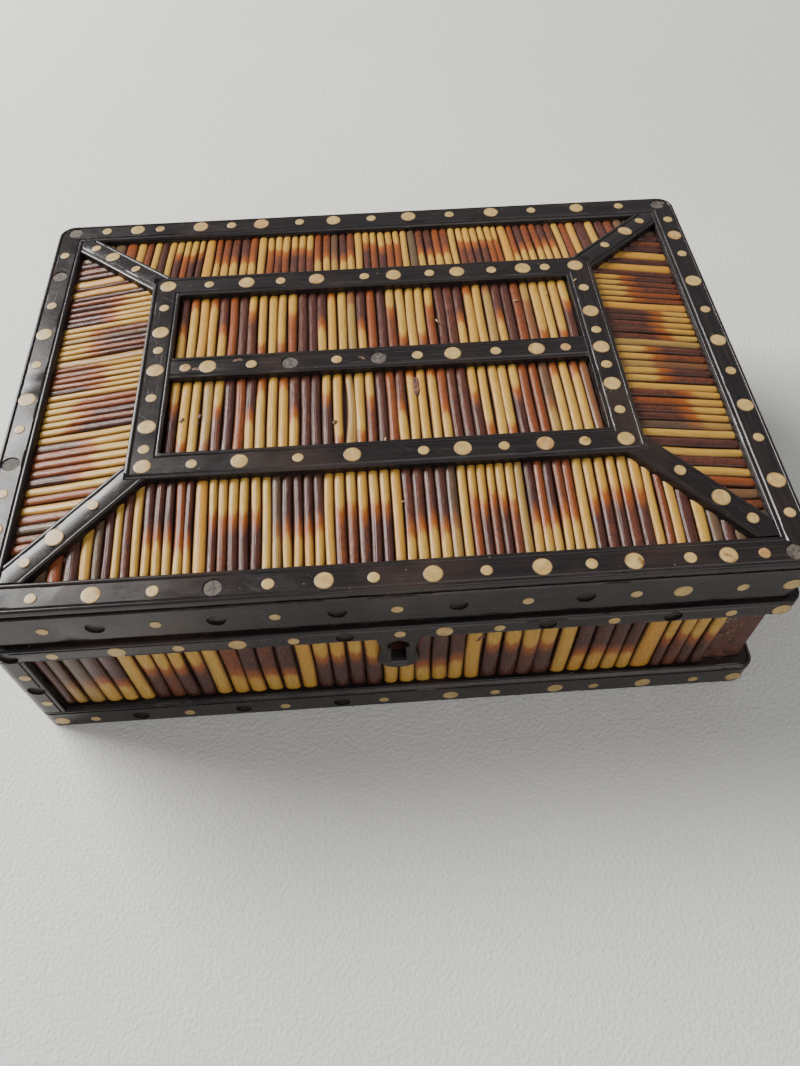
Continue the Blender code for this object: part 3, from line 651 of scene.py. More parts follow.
def mark_strip(mesh, direction, seed):
    """Writes the way along the strip and its ridges and grooves, which the ebony's shading follows."""
    grain = mesh.verts.layers.float_vector.new("strip_grain")
    wear = mesh.verts.layers.float_vector.new("strip_wear")
    direction = Vector(direction).normalized()
    across = Vector((-direction.y, direction.x, 0.0))
    if across.length < 0.5:
        across = Vector((1.0, 0.0, 0.0))
    third = direction.cross(across)
    mesh.normal_update()
    for vert in mesh.verts:
        vert[grain] = Vector((vert.co.dot(direction) + seed, vert.co.dot(across), vert.co.dot(third)))
        vert[wear] = Vector((edge_bend(vert), seed, 0.0))


def socket_plugs(places):
    """A mesh of slightly tapered plugs with domed ends, to cut empty sockets."""
    mesh = bmesh.new()
    for centre, direction in places:
        side = direction.orthogonal().normalized()
        other = direction.cross(side)
        rings = []
        for share, depth in PLUG_RINGS:
            ring = []
            for turn in turns_round(PLUG_SIDES):
                reach = BIG_DOT * share * (1 + 0.03 * noise.noise(centre * 900.0 + Vector((turn, 0, 0))))
                way = side * math.cos(turn) + other * math.sin(turn)
                ring.append(centre + way * reach + direction * depth)
            rings.append(ring)
        add_tube(mesh, rings)
    turn_outwards(mesh)
    return mesh


def cut_out(mesh, tool):
    """Takes the tool's space out of a mesh and gives back the result."""
    carriers = [make_object("kept", mesh), make_object("tool", tool)]
    modifier = carriers[0].modifiers.new("cut", "BOOLEAN")
    modifier.operation = "DIFFERENCE"
    modifier.solver = "EXACT"
    modifier.object = carriers[1]
    graph = bpy.context.evaluated_depsgraph_get()
    result = bmesh.new()
    result.from_object(carriers[0], graph)
    for carrier in carriers:
        data = carrier.data
        bpy.data.objects.remove(carrier, do_unlink=True)
        bpy.data.meshes.remove(data)
    return result


# Dots and sockets: one list for each group, of centre and direction, and for dots also radius and letter

dots = {}
sockets = {}


def plain_row(half, seed):
    """A row for a side that the photograph doesn't show: big and small dots in turn, a few lost."""
    dice = random.Random(seed)
    count = 2 * round(half / PLAIN_ROW_PITCH)
    words = []
    for k in range(count + 1):
        place = (-half + 2 * half * k / count) / MM + dice.uniform(-1.2, 1.2)
        letter = "s" if k % 2 else ("X" if dice.random() < 0.2 else "B")
        words.append(letter + str(round(place, 1)))
    return " ".join(words)


def set_row(group, text, where, direction):
    """Sorts a row into the dots that are there and the empty sockets."""
    for word in text.split():
        letter = word[0]
        centre = Vector(where(float(word[1:]) * MM))
        if letter == "X":
            sockets.setdefault(group, []).append((centre, direction))
        else:
            radius = SMALL_DOT if letter in "st" else BIG_DOT
            dots.setdefault(group, []).append((centre, direction, radius, letter))


def side_point(side, half_x, half_y, inset, place, z):
    if side in LONG_SIDES:
        return place, (half_y - inset) * (-1 if side == "front" else 1), z
    return (half_x - inset) * (-1 if side == "left" else 1), place, z


def lay_out_dots():
    up = raised(1.0)
    lid = (LID_LENGTH / 2, LID_DEPTH / 2)
    base = (BASE_LENGTH / 2, BASE_DEPTH / 2)
    middle = (RAISED_LENGTH / 2, RAISED_DEPTH / 2)
    for index, side in enumerate(SIDES):
        long_side = side in LONG_SIDES
        set_row("lid_frame", LID_ROWS[side], lambda p: side_point(side, *lid, TOP_ROW_INSET, p, LID_TOP), up)
        inset = middle[1] - RAIL_ROW_Y if long_side else middle[0] - RAIL_ROW_X
        set_row("lid_rail", RAIL_ROWS[side], lambda p: side_point(side, *middle, inset, p, RAISED_TOP), up)
        half = lid[0 if long_side else 1] - PLAIN_ROW_END
        for node, text, size, z, seed in (("lid_edge_", EDGE_ROW, lid, EDGE_ROW_Z, 11),
                                          ("base_top_rail_", RIM_ROW, base, RIM_ROW_Z, 21),
                                          ("base_bottom_rail_", FOOT_ROW, base, FOOT_ROW_Z, 31)):
            row = text if side == "front" else plain_row(half, seed + index)
            set_row(node + side, row, lambda p: side_point(side, *size, 0.0, p, z), FACING[side])
    set_row("lid_bar", BAR_ROW, lambda p: (p, BAR_ROW_Y, RAISED_TOP), up)
    for label, sign_x, sign_y in POSTS:
        for facing in (Vector((sign_x, 0.0, 0.0)), Vector((0.0, sign_y, 0.0))):
            x = sign_x * (base[0] - (0.0 if facing.x else POST_ROW_INSET))
            y = sign_y * (base[1] - (0.0 if facing.y else POST_ROW_INSET))
            row = POST_ROW if label == "front_left" and facing.y else PLAIN_POST_ROW
            set_row("post_" + label, row, lambda p: (x, y, p), facing)
    for sign_x in (-1, 1):
        for sign_y in (-1, 1):
            low = Vector((sign_x * INNER_LENGTH / 2, sign_y * INNER_DEPTH / 2, LID_TOP))
            high = Vector((sign_x * RAISED_LENGTH / 2, sign_y * RAISED_DEPTH / 2, RAISED_TOP))
            way = high - low
            tilt = way.cross(Vector((-way.y, way.x, 0.0))).normalized()
            for share, radius in DIAGONAL_SHARES:
                dots.setdefault("lid_diagonals", []).append((low + way * share, tilt, radius, "B"))


def build_dots(material):
    """Slightly proud discs, each a little out of round."""
    dice = random.Random(5)
    for group, places in dots.items():
        mesh = bmesh.new()
        look = mesh.verts.layers.float_vector.new("dot_look")
        for centre, direction, radius, letter in places:
            side = direction.orthogonal().normalized()
            other = direction.cross(side)
            size = radius * dice.uniform(0.96, 1.04)
            brown = {"T": 0.75, "t": 0.85}.get(letter, dice.choice((0.0, 0.0, 0.05, 0.12, 0.2)))
            stain = 1.0 if letter == "Y" else dice.choice((0.0, 0.0, 0.0, 0.25, 0.6))
            proud = 0.00006 + dice.uniform(0.0, 0.00008)
            lean = Vector((dice.uniform(-1, 1), dice.uniform(-1, 1), dice.uniform(-1, 1))) * 0.012
            shape = dice.uniform(0.0, 50.0)
            rings = []
            for share, height in ((1.0, -0.0003), (1.0, proud - 0.00005), (0.965, proud),
                                  (0.8, proud + 0.00002), (0.4, proud + 0.00004)):
                ring = []
                for turn in turns_round(28 if radius > SMALL_DOT else 20):
                    cos, sin = math.cos(turn), math.sin(turn)
                    uneven = noise.noise(Vector((cos * 0.8 + shape, sin * 0.8, shape)))
                    point = (side * cos + other * sin) * (size * share * (1 + 0.045 * uneven))
                    vert = mesh.verts.new(centre + point + direction * (height + point.dot(lean)))
                    vert[look] = Vector((share, brown, stain))
                    ring.append(vert)
                rings.append(ring)
            join_rings(mesh, rings)
        turn_outwards(mesh)
        make_piece("dots_" + group, mesh, material)


# Ebony strips

def strip_piece(node, mesh, material, direction, seed, places=()):
    """Finishes one ebony strip: unevenness, empty sockets, shading marks."""
    roughen(mesh, seed)
    if places:
        mesh = cut_out(mesh, socket_plugs(places))
    mark_strip(mesh, direction, seed)
    make_piece("strip_" + node, mesh, material, (node,))


def near_node(node, places):
    """The places whose plugs reach a node."""
    low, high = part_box(node)
    reach = BIG_DOT * 1.2
    return [(centre, way) for centre, way in places
            if all(low[k] - reach < centre[k] < high[k] + reach for k in range(3))]


def lid_frame_profile():
    """The flat frame's section: a moulded outer edge, a flat and a bead at the inner edge."""
    lip = LID_TOP - 0.0027
    shelf = LID_TOP - STRIP_THICKNESS
    points = [(REBATE_DEPTH, shelf), (REBATE_DEPTH, lip), (0.0003, lip), (0.0, lip + 0.0003)]
    points += quarter(0.0, LID_TOP, 0.0007)[:-1] + bead(0.0001, 0.0012, LID_TOP, 0.0004)[3:]
    points += flat_top(0.0016, STRIP_WIDTH - 0.0022, LID_TOP)
    points += bead(STRIP_WIDTH - 0.0019, 0.0015, LID_TOP, 0.0004)
    return points + [(STRIP_WIDTH - 0.0003, LID_TOP - 0.0005), (STRIP_WIDTH, LID_TOP - 0.0009),
                     (STRIP_WIDTH, shelf)]


def lid_edge_profile():
    """The upright strip's section, rebated at its foot."""
    top = LID_TOP - STRIP_THICKNESS - CLEARANCE
    rebate = LID_FOOT + 0.0017
    return [(UPRIGHT_THICKNESS, LID_FOOT), (REBATE_DEPTH, LID_FOOT), (REBATE_DEPTH, rebate - 0.0002),
            (0.0004, rebate), (0.0, rebate + 0.0004), (0.0, rebate + 0.0009), (0.0, top - 0.0009),
            (0.0, top - 0.0004), (0.0004, top), (UPRIGHT_THICKNESS, top)]


def top_rail_profile():
    """The base's upper rail: a scratched line low down and a hollow under the rim."""
    low = BASE_HEIGHT - TOP_RAIL_HEIGHT
    high = BASE_HEIGHT
    points = [(UPRIGHT_THICKNESS, low), (0.0003, low), (0.0, low + 0.0003), (0.0, low + 0.0006),
              (0.00018, low + 0.00075), (0.0, low + 0.0009), (0.0, low + 0.0014),
              (0.0, high - 0.0022), (0.0, high - 0.0018), (0.00035, high - 0.00155)]
    points += [(0.0007 * (1 - math.sin(turn)), high - 0.00075 - 0.00075 * math.cos(turn))
               for turn in (math.pi * k / 6 for k in range(1, 6))]
    return points + [(0.0009, high), (UPRIGHT_THICKNESS, high)]


def foot_rail_profile():
    """The base's lower rail: a plain face, a rounded step and a groove along the ledge."""
    ledge = BOTTOM_RAIL_HEIGHT
    face = ledge - 0.0021
    points = [(UPRIGHT_THICKNESS, 0.0), (0.0004, 0.0), (0.0, 0.0004), (0.0, 0.0009), (0.0, face - 0.0006),
              (0.0, face - 0.0001), (0.0004, face)]
    points += [(0.0009 * (1 - math.sin(turn)), ledge - 0.0010 - 0.0009 * math.cos(turn))
               for turn in (math.pi * k / 8 for k in range(1, 6))]
    return points + [(0.0011, ledge - 0.0001), (0.0014, ledge - 0.0004), (0.0017, ledge - 0.0001),
                     (0.0022, ledge - 0.0001), (UPRIGHT_THICKNESS, ledge - 0.0001)]


def build_frames(material):
    """Frame strips of the lid and the rails of the base."""
    lid = (LID_LENGTH / 2, LID_DEPTH / 2, LID_CORNER_RADIUS)
    base = (BASE_LENGTH / 2, BASE_DEPTH / 2, BASE_CORNER_RADIUS)
    middle = (RAISED_LENGTH / 2, RAISED_DEPTH / 2, 0.0)
    rail = strip_section(STRIP_WIDTH, RAISED_TOP - STRIP_THICKNESS, RAISED_TOP, BEAD_WIDTH)
    seed = 0.0
    for side in SIDES:
        for node, size, profile in (("lid_frame_", lid, lid_frame_profile()),
                                    ("lid_edge_", lid, lid_edge_profile()),
                                    ("base_top_rail_", base, top_rail_profile()),
                                    ("base_bottom_rail_", base, foot_rail_profile()),
                                    ("lid_rail_", middle, rail)):
            seed += 1.0
            if node == "lid_frame_":
                places = near_node(node + side, sockets["lid_frame"])
            else:
                places = sockets.get(node + side, ())
            strip_piece(node + side, frame_side(side, *size, profile), material, ALONG[side], seed, places)


def build_bar(material):
    half = RAISED_LENGTH / 2 - STRIP_WIDTH - SEAM
    section = strip_section(BAR_WIDTH, RAISED_TOP - STRIP_THICKNESS, RAISED_TOP, BEAD_WIDTH)
    steps = round(2 * half / STATION_STEP)
    mesh = tube([[(-half + 2 * half * k / steps, inset - BAR_WIDTH / 2, z) for inset, z in section]
                 for k in range(steps + 1)])
    strip_piece("lid_bar", mesh, material, (1.0, 0.0, 0.0), 31.0, sockets["lid_bar"])


def build_diagonals(material):
    """Sloping strips whose ends follow the two corners that they join."""
    section = strip_section(DIAGONAL_WIDTH, -STRIP_THICKNESS, 0.0, DIAGONAL_BEAD_WIDTH)
    length = math.hypot(RUN_X, RUN_Y)
    steps = round(length / STATION_STEP)
    for index, (label, sign_x, sign_y) in enumerate((("front_left", -1, -1), ("front_right", 1, -1),
                                                     ("back_left", -1, 1), ("back_right", 1, 1))):
        along = Vector((-sign_x * RUN_X, -sign_y * RUN_Y, 0.0)) / length
        across = Vector((along.y, -along.x, 0.0))
        origin = Vector((sign_x * INNER_LENGTH / 2, sign_y * INNER_DEPTH / 2, LID_TOP))
        leans = (RUN_X / RUN_Y, RUN_Y / RUN_X)
        lean_right, lean_left = leans if across.x * sign_x < 0 else reversed(leans)
        places = []
        for inset, z in section:
            u = inset - DIAGONAL_WIDTH / 2
            places.append((u, z, u * lean_right if u > 0 else -u * lean_left))
        middle = next(k for k in range(len(places)) if places[k][0] > 0 and places[k][1] == 0.0)
        places.insert(middle, (0.0, 0.0, 0.0))
        rings = []
        for share in (k / steps for k in range(steps + 1)):
            reach = (length + 2 * DIAGONAL_LAP) * share
            rings.append([origin + across * u + along * (lean - DIAGONAL_LAP + reach)
                          + raised(LID_RISE * share + z) for u, z, lean in places])
        strip_piece("lid_diagonal_" + label, tube(rings), material, along, 41.0 + index)


def build_posts(material):
    """Angle posts with a bead along each inner edge."""
    low = BOTTOM_RAIL_HEIGHT + SEAM
    high = BASE_HEIGHT - TOP_RAIL_HEIGHT - SEAM
    radius = BASE_CORNER_RADIUS
    steps = 24
    arm = [(STRIP_WIDTH, UPRIGHT_THICKNESS), (STRIP_WIDTH, 0.0007)]
    arm += [(STRIP_WIDTH - u, 0.0005 * (1 - math.sin(math.pi * k / 6)))
            for k, u in ((1, 0.00012), (2, 0.0004), (3, 0.00075), (4, 0.0011), (5, 0.0013))]
    arm += [(STRIP_WIDTH - 0.0016, 0.0004), (STRIP_WIDTH - 0.0019, 0.0), (STRIP_WIDTH - 0.0024, 0.0)]
    corner = [(radius - radius * math.sin(turn), radius - radius * math.cos(turn))
              for turn in (math.pi / 2 * k / 10 for k in range(11))]
    outline = arm + corner + [(v, u) for u, v in reversed(arm)] + [(UPRIGHT_THICKNESS, UPRIGHT_THICKNESS)]
    for index, (label, sign_x, sign_y) in enumerate(POSTS):
        mesh = tube([[(sign_x * (BASE_LENGTH / 2 - u), sign_y * (BASE_DEPTH / 2 - v),
                       low + (high - low) * k / steps) for u, v in outline] for k in range(steps + 1)])
        strip_piece("post_" + label, mesh, material, (0.0, 0.0, 1.0), 50.0 + index,
                    sockets.get("post_" + label, ()))


# Quills

def read_quills(text, low, high, flip=False):
    """The quills of a panel as (letter, centre, half width), spread evenly between the given places."""
    letters = []
    fixed = {}
    for word in text.split():
        if ":" in word:
            word, place = word.split(":")
            fixed[len(letters)] = float(place)
        letters.extend(word)
    if flip:
        letters.reverse()
        fixed = {len(letters) - 1 - index: place for index, place in fixed.items()}
    if fixed and fixed[max(fixed)] < fixed[min(fixed)]:
        fixed = {index: -place for index, place in fixed.items()}
    marks = [(-0.5, low)] + sorted(fixed.items()) + [(len(letters) - 0.5, high)]
    edges = []
    for k in range(len(letters) + 1):
        at = k - 0.5
        (before, a), (after, b) = next((one, two) for one, two in zip(marks, marks[1:]) if two[0] >= at)
        edges.append(a + (b - a) * (at - before) / (after - before))
    widths = [edges[k + 1] - edges[k] for k in range(len(letters))]
    for k, letter in enumerate(letters):
        if letter == "Y" and 0 < k < len(letters) - 1:
            edges[k] -= THICK_QUILL_EXTRA * widths[k]
            edges[k + 1] += THICK_QUILL_EXTRA * widths[k]
    return [(letter, (edges[k] + edges[k + 1]) / 2 * MM, (edges[k + 1] - edges[k]) / 2 * MM)
            for k, letter in enumerate(letters)]


def quill_panel(name, node, quills, place, start, stop, full, crest, foot, material, seed, warm=0.12,
                red=0.55, blunt=0.0):
    """Half-round quills side by side, each with its own colours, width and wobble.

    place turns (across, along, height) into a point. start and stop give a quill's ends, stop also from
    the quill's middle. full is the length over which its colours run, and blunt rounds its lower end.
    """
    dice = random.Random(seed)
    mesh = bmesh.new()
    layers = [mesh.verts.layers.float_vector.new(key) for key in ("quill_place", "quill_mark", "quill_look")]
    stretch = [k / LENGTH_STEPS for k in range(LENGTH_STEPS + 1)]
    if blunt:
        stretch = [0.0, 0.012, 0.03, 0.06] + stretch[1:-1] + [0.97, 1.0]
    for letter, centre, half in quills:
        split = DARK_FAR.get(letter, DARK_NEAR.get(letter))
        sense = -1.0 if letter in DARK_NEAR else 1.0
        split += dice.gauss(0.0, 0.035) * (0.3 if letter in "DWYGx" else 1.0)
        tone = min(1.0, max(0.0, dice.gauss(red, 0.33)))
        yellow = 0.9 if letter == "Y" else min(1.0, max(0.0, dice.gauss(warm, 0.22)))
        grey = {"G": 0.8, "x": 0.9, "K": 0.6}.get(letter, 0.55 if dice.random() < 0.035 else 0.0)
        mark = Vector((split, sense, tone))
        look = Vector((yellow, grey, dice.uniform(0.0, 90.0)))
        half_width = half * dice.uniform(0.93, 1.03)
        top = crest - dice.uniform(0.0, 0.00032) - (0.0004 if letter == "x" else 0.0)
        sway = dice.uniform(-1.0, 1.0) * half * 0.16 + (0.0009 if letter == "K" else 0.0)
        shift = dice.uniform(-0.06, 0.06) * half
        taper = dice.uniform(-0.12, 0.12) - (0.5 if letter == "K" else 0.0)
        rings = []
        for share in stretch:
            ring = []
            for turn in (math.pi * k / CUT_STEPS for k in range(CUT_STEPS + 1)):
                across = -math.cos(turn)
                u = centre + shift + sway * math.sin(math.pi * share)
                u += half_width * (1 + taper * (share - 0.5)) * across
                low = start(u)
                high = max(stop(u, centre), low + SHORTEST_QUILL)
                v = low + (high - low) * share
                rise = foot + (top - foot) * max(0.0, math.sin(turn)) ** 0.62
                if blunt:
                    fall = min(1.0, share * (high - low) / blunt)
                    rise = foot + (rise - foot) * math.sqrt(max(0.0, 1 - (1 - fall) ** 2))
                    rise = max(rise, foot + 0.25 * (top - foot) * math.sin(turn))
                swell = noise.noise(Vector((centre * 900.0, v * 160.0, seed))) * 0.00009
                vert = mesh.verts.new(place(u, v, rise + swell * math.sin(turn)))
                vert[layers[0]] = Vector((across, (v - start(centre)) / full, full / MM))
                vert[layers[1]] = mark
                vert[layers[2]] = look
                ring.append(vert)
            rings.append(ring)
        join_rings(mesh, rings)
    turn_outwards(mesh)
    make_piece(name, mesh, material, (node,), 60.0)


def build_lid_quills(material):
    """The four sloping panels, which end at the diagonal strips, and the two flat ones in the middle."""
    foot = -STRIP_THICKNESS + 0.0002
    other_end = str.maketrans("TBAaCc", "BTCcAa")
    for index, (side, text) in enumerate(LID_QUILLS.items()):
        normal, across = FACING[side], ALONG[side]
        long_side = side in LONG_SIDES
        outer = (INNER_LENGTH if long_side else INNER_DEPTH) / 2
        reach = (INNER_DEPTH if long_side else INNER_LENGTH) / 2
        run, other_run = (RUN_Y, RUN_X) if long_side else (RUN_X, RUN_Y)
        set_back = (DIAGONAL_WIDTH / 2 + CLEARANCE) * math.hypot(RUN_X, RUN_Y) / run
        half = outer - set_back - LAST_QUILL_RUN * other_run / run
        origin = normal * reach + raised(LID_TOP)
        knee = outer - set_back - run * other_run / run

        def place(u, v, height):
            return origin + across * u - normal * v + raised(LID_RISE * v / run + height)

        def stop(u, _):
            return run - CLEARANCE - max(0.0, abs(u) - knee) * (run / other_run)

        if side in ("back", "left"):
            text = text.translate(other_end)
        quills = read_quills(text, -half / MM, half / MM, flip=side in ("back", "right"))
        quill_panel("quills_lid_" + side, "lid_quills_" + side, quills, place, lambda u: CLEARANCE, stop,
                    run, -LID_QUILL_RECESS, foot, material, 100 + index)
    half = (RAISED_LENGTH / 2 - STRIP_WIDTH - CLEARANCE) / MM
    low = BAR_WIDTH / 2 + CLEARANCE
    high = RAISED_DEPTH / 2 - STRIP_WIDTH - CLEARANCE
    for index, (label, text, base) in enumerate((("back", INNER_BACK_QUILLS, low),
                                                 ("front", INNER_FRONT_QUILLS, -high))):
        quill_panel("quills_lid_inner_" + label, "lid_quills_inner_" + label, read_quills(text, -half, half),
                    lambda u, v, height: Vector((u, base + v, RAISED_TOP + height)), lambda u: 0.0,
                    lambda u, _: high - low, high - low, -LID_QUILL_RECESS, foot, material, 110 + index)


def build_side_quills(material):
    """The quills round the base. Those behind the keyhole plate end soon after they pass under it."""
    low = BOTTOM_RAIL_HEIGHT + CLEARANCE
    height = BASE_HEIGHT - TOP_RAIL_HEIGHT - CLEARANCE - low
    crest = UPRIGHT_THICKNESS - SIDE_QUILL_RECESS
    for index, side in enumerate(SIDES):
        long_side = side in LONG_SIDES
        half = ((BASE_LENGTH if long_side else BASE_DEPTH) / 2 - STRIP_WIDTH) / MM
        face = (BASE_DEPTH if long_side else BASE_LENGTH) / 2 - UPRIGHT_THICKNESS
        if side == "front":
            quills = read_quills(FRONT_QUILLS, *FRONT_QUILLS_RANGE)
        else:
            quills = read_quills(LONG_SIDE_QUILLS if long_side else SHORT_SIDE_QUILLS, -half, half)

        def place(u, v, rise):
            return FACING[side] * (face + rise) + ALONG[side] * u + raised(low + v)

        def stop(_, centre):
            behind_plate = side == "front" and abs(centre) < PLATE_CORE
            return height - PLATE_HEIGHT + PLATE_LAP if behind_plate else height

        # warm=0.2 makes the base's pale quills more orange than the lid's: painted shade, since the base
        # stands in shade.
        quill_panel("quills_base_" + side, "quills_" + side, quills, place, lambda u: 0.0, stop, height,
                    crest, CLEARANCE, material, 120 + index, warm=0.2, red=0.18, blunt=0.0016)


# Keyhole plate

def plate_outline(extra=0.0):
    """Drawn-in neck, wide cheeks with a nick under each, and a shallow curved foot."""
    half = PLATE_WIDTH / 2 + extra
    neck = PLATE_NECK_WIDTH / 2 + extra
    cheek = PLATE_TOP - PLATE_CHEEK_DROP
    foot = PLATE_TOP - PLATE_HEIGHT - extra
    steps = 14
    side = []
    for k in range(steps + 1):
        share = k / steps
        width = neck + (half - neck) * (0.5 + 0.5 * math.cos(2 * math.pi * share))
        side.append((-width, PLATE_TOP + (0.0 if k else extra) - PLATE_CHEEK_DROP * share))
    side += [(-half + 0.0012, cheek - 0.0007), (-half + 0.0016, cheek - 0.0016)]
    bottom = []
    for k in range(1, 10):
        share = -0.78 + 1.56 * k / 10
        bottom.append((half * share, cheek - 0.0018 + (foot - cheek + 0.0018) * (1.0 - (share / 0.8) ** 2)))
    return side + bottom + [(-x, z) for x, z in reversed(side)]


def keyhole_outline(extra=0.0):
    """A round hole above a narrower slot."""
    half = KEYHOLE_WIDTH / 2 - extra
    slot = KEYHOLE_SLOT_WIDTH / 2 - extra
    top = BASE_HEIGHT - TOP_RAIL_HEIGHT - 2 * GAP
    centre = top - KEYHOLE_WIDTH / 2 - KEYHOLE_MARGIN
    dip = math.acos(slot / half)
    steps = 24
    points = [(half * math.cos(-dip + (math.pi + 2 * dip) * k / steps),
               centre + half * math.sin(-dip + (math.pi + 2 * dip) * k / steps)) for k in range(steps + 1)]
    bottom = top - KEYHOLE_HEIGHT - KEYHOLE_MARGIN + extra
    return points + [(-slot, bottom), (slot, bottom)]


def prism(outlines):
    """A body through outlines of (x, z) points, each at its own depth along Y."""
    return tube([[(x, y, z) for x, z in outline] for outline, y in outlines])


def build_keyhole_plate(material):
    front = -BASE_DEPTH / 2 + 0.0002
    back = -BASE_DEPTH / 2 + UPRIGHT_THICKNESS
    plate = prism([(plate_outline(-0.0004), front), (plate_outline(-0.0001), front + 0.0002),
                   (plate_outline(), front + 0.0005), (plate_outline(), back)])
    hole = prism([(keyhole_outline(-0.0003), front - 0.002), (keyhole_outline(-0.0003), front),
                  (keyhole_outline(), front + 0.0004), (keyhole_outline(), back + 0.002)])
    mesh = cut_out(plate, hole)
    mark_strip(mesh, (0.0, 0.0, 1.0), 61.0)
    make_piece("keyhole_plate", mesh, material, ("escutcheon",))


# What wear has left

def lump(mesh, centre, size, axes, seed):
    """A flattened ragged lump lying on a surface: axes are its two directions and the way up."""
    across, along, up = (Vector(axis) for axis in axes)
    rings = []
    for fall in (math.pi / 2 * k / (LUMP_RINGS - 1) for k in range(LUMP_RINGS)):
        ring = []
        for turn in turns_round(LUMP_SIDES):
            point = Vector((math.cos(turn) * math.cos(fall), math.sin(turn) * math.cos(fall),
                            math.sin(fall)))
            swell = 1 + 0.45 * noise.noise(point * 1.7 + Vector((seed, seed * 2.0, 0.0)))
            ring.append(Vector(centre) + across * (point.x * size[0] * swell)
                        + along * (point.y * size[1] * swell) + up * (point.z * size[2] * swell))
        rings.append(ring)
    add_tube(mesh, rings)


def build_debris(material):
    """Old glue and splinters where the front right post is lost, and dust in the lid's sharp corners."""
    dice = random.Random(77)
    mesh = bmesh.new()
    wall = -BASE_DEPTH / 2 + UPRIGHT_THICKNESS + GAP
    low = BOTTOM_RAIL_HEIGHT
    high = BASE_HEIGHT - TOP_RAIL_HEIGHT
    end = BASE_LENGTH / 2 - UPRIGHT_THICKNESS - GAP
    for _ in range(46):
        x = dice.uniform(0.1085, end - 0.003)
        z = low + 0.0006 + (high - low - 0.0015) * dice.random() ** 2.2
        size = (dice.uniform(0.0006, 0.0022), dice.uniform(0.0006, 0.0026), dice.uniform(0.00008, 0.0003))
        lump(mesh, (x, wall + 0.00005, z), size, FRONT_AXES, dice.uniform(*LUMP_SEEDS))
    for _ in range(40):
        y = dice.uniform(-BASE_DEPTH / 2 + UPRIGHT_THICKNESS + 0.0012, -BASE_DEPTH / 2 + STRIP_WIDTH)
        z = dice.uniform(low + 0.001, high - 0.001)
        size = (dice.uniform(0.0005, 0.0013), dice.uniform(0.0006, 0.003), dice.uniform(0.0001, 0.0003))
        lump(mesh, (end - 0.00005, y, z), size, END_AXES, dice.uniform(*LUMP_SEEDS))
    turn_outwards(mesh)
    make_piece("glue_at_lost_post", mesh, material)
    mesh = bmesh.new()
    bed = LID_TOP - STRIP_THICKNESS - GAP
    for sign_x, sign_y in ((-1, -1), (-1, 1), (1, -1), (1, 1)):
        for _ in range(16):
            share = dice.uniform(0.0, 0.30)
            along_x = dice.random() < 0.5
            offset = 0.0072 + dice.uniform(0.0, 0.0035)
            x = sign_x * (INNER_LENGTH / 2 - RUN_X * share - (offset if along_x else 0.0008))
            y = sign_y * (INNER_DEPTH / 2 - RUN_Y * share - (0.0008 if along_x else offset))
            size = [dice.uniform(0.0006, 0.0016) for _ in range(3)]
            lump(mesh, (x, y, bed + LID_RISE * share + 0.0004), size, TOP_AXES, dice.uniform(*LUMP_SEEDS))
    turn_outwards(mesh)
    make_piece("dust_in_corners", mesh, material)


def scatter(mesh, dice, count, middle, z, spread, wide, tall, thick):
    """Flat lumps about a place on the lid. Middle and spread are in millimetres."""
    for _ in range(count):
        x, y = [(at + dice.uniform(-reach, reach)) * MM for at, reach in zip(middle, spread)]
        size = (dice.uniform(*wide), dice.uniform(*tall), thick)
        lump(mesh, (x, y, z), size, TOP_AXES, dice.uniform(*LUMP_SEEDS))


def build_small_marks(dirt, pale):
    """Holes in quills, a knot, worn places on the bar and pale flakes, where the photograph has them."""
    dice = random.Random(91)
    crest = RAISED_TOP - LID_QUILL_RECESS
    mesh = bmesh.new()
    for hole in QUILL_HOLES:
        scatter(mesh, dice, 3, hole, crest - 0.0001, (0.5, 0.7), (0.0003, 0.0006), (0.0003, 0.0007), 0.00015)
    scatter(mesh, dice, 14, GAP_PLACE, crest - 0.0004, (0.7, 3.0), (0.0004, 0.0009), (0.0006, 0.0016),
            0.0003)
    for worn in WORN_PLACES:
        scatter(mesh, dice, 5, worn, RAISED_TOP, (1.4, 0.6), (0.0003, 0.0009), (0.0002, 0.0005), 0.00004)
    face = -BASE_DEPTH / 2 + SIDE_QUILL_RECESS + 0.0001
    for x, z, wide, tall in KNOT:
        place = ((KNOT_PLACE[0] + x) * MM, face, (KNOT_PLACE[1] + z) * MM)
        lump(mesh, place, (wide * MM, tall * MM, 0.00015), FRONT_AXES, dice.uniform(*LUMP_SEEDS))
    turn_outwards(mesh)
    make_piece("small_marks", mesh, dirt)
    mesh = bmesh.new()
    for x, y, z, angle in FLAKES:
        cos, sin = math.cos(math.radians(angle)), math.sin(math.radians(angle))
        axes = ((cos, sin, 0.0), (-sin, cos, 0.0), (0.0, 0.0, 1.0))
        lump(mesh, (x * MM, y * MM, z * MM), (0.0010, 0.0003, 0.00025), axes, x)
    turn_outwards(mesh)
    make_piece("pale_flakes", mesh, pale)


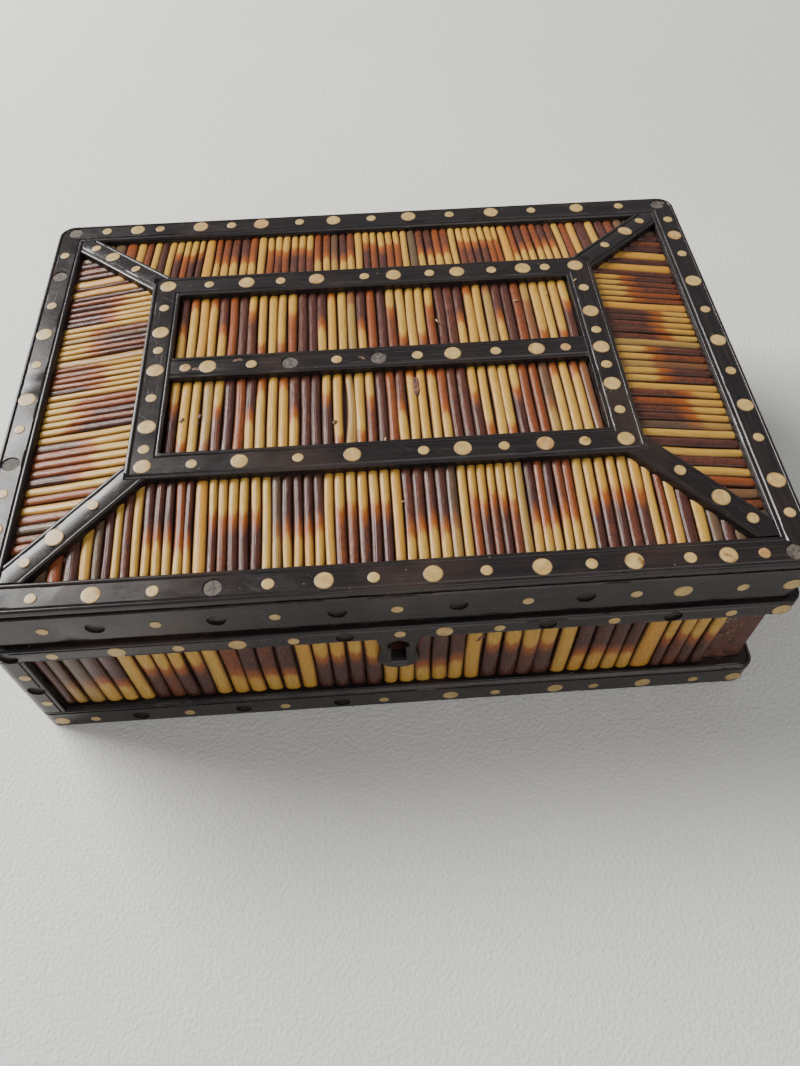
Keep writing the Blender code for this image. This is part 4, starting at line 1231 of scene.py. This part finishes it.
def build_socket_floors(material):
    """The grey remains in the empty sockets on top of the lid."""
    mesh = bmesh.new()
    for centre, _ in sockets["lid_frame"] + sockets["lid_bar"]:
        rings = []
        for share, height in ((0.93, -0.0010), (0.93, -0.00035), (0.7, -0.0003), (0.45, -0.00042),
                              (0.2, -0.0003)):
            ring = []
            for cos, sin in ((math.cos(turn), math.sin(turn)) for turn in turns_round(20)):
                rough = noise.noise(Vector((cos * share * 3, sin * share * 3, centre.x * 900))) * 0.00016
                ring.append(centre + Vector((cos * BIG_DOT * share, sin * BIG_DOT * share, height + rough)))
            rings.append(ring)
        add_tube(mesh, rings)
    turn_outwards(mesh)
    make_piece("socket_remains", mesh, material)


def dress_carcass(material):
    """The wood of the solids that stay as they are."""
    for node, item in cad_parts.items():
        if node.startswith(("base_wall", "base_floor", "lid_board", "lid_rim")):
            item.data.materials.clear()
            item.data.materials.append(material)


# Floor and light

def build_floor(material):
    mesh = bmesh.new()
    bmesh.ops.create_grid(mesh, x_segments=40, y_segments=40, size=2.2)
    floor = make_object("floor", mesh)
    floor.data.materials.append(material)


def add_light(name, place, target, size, power, color):
    data = bpy.data.lights.new(name, "AREA")
    data.shape = "RECTANGLE"
    data.size, data.size_y = size
    data.energy = power
    data.color = color
    light = bpy.data.objects.new(name, data)
    light.location = place
    way = Vector(target) - Vector(place)
    light.rotation_euler = way.to_track_quat("-Z", "Y").to_euler()
    bpy.context.scene.collection.objects.link(light)


def build_light():
    world = bpy.data.worlds.new("studio")
    world.use_nodes = True
    background = world.node_tree.nodes["Background"]
    background.inputs["Color"].default_value = SKY_COLOR
    background.inputs["Strength"].default_value = SKY_STRENGTH
    bpy.context.scene.world = world
    for light in LIGHTS:
        add_light(*light)


def main():
    place_camera()
    noise.seed_set(NOISE_SEED)
    ebony = ebony_material()
    bone = bone_material()
    quill = quill_material()
    lay_out_dots()
    build_frames(ebony)
    build_bar(ebony)
    build_diagonals(ebony)
    build_posts(ebony)
    build_dots(bone)
    build_lid_quills(quill)
    build_side_quills(quill)
    build_keyhole_plate(ebony)
    dirt = dirt_material()
    build_debris(dirt)
    build_small_marks(dirt, bone)
    build_socket_floors(socket_material())
    dress_carcass(wood_material("carcass_bare", (0.105, 0.037, 0.027), (0.052, 0.018, 0.014), 1.0, 0.62))
    build_floor(floor_material())
    build_light()


main()
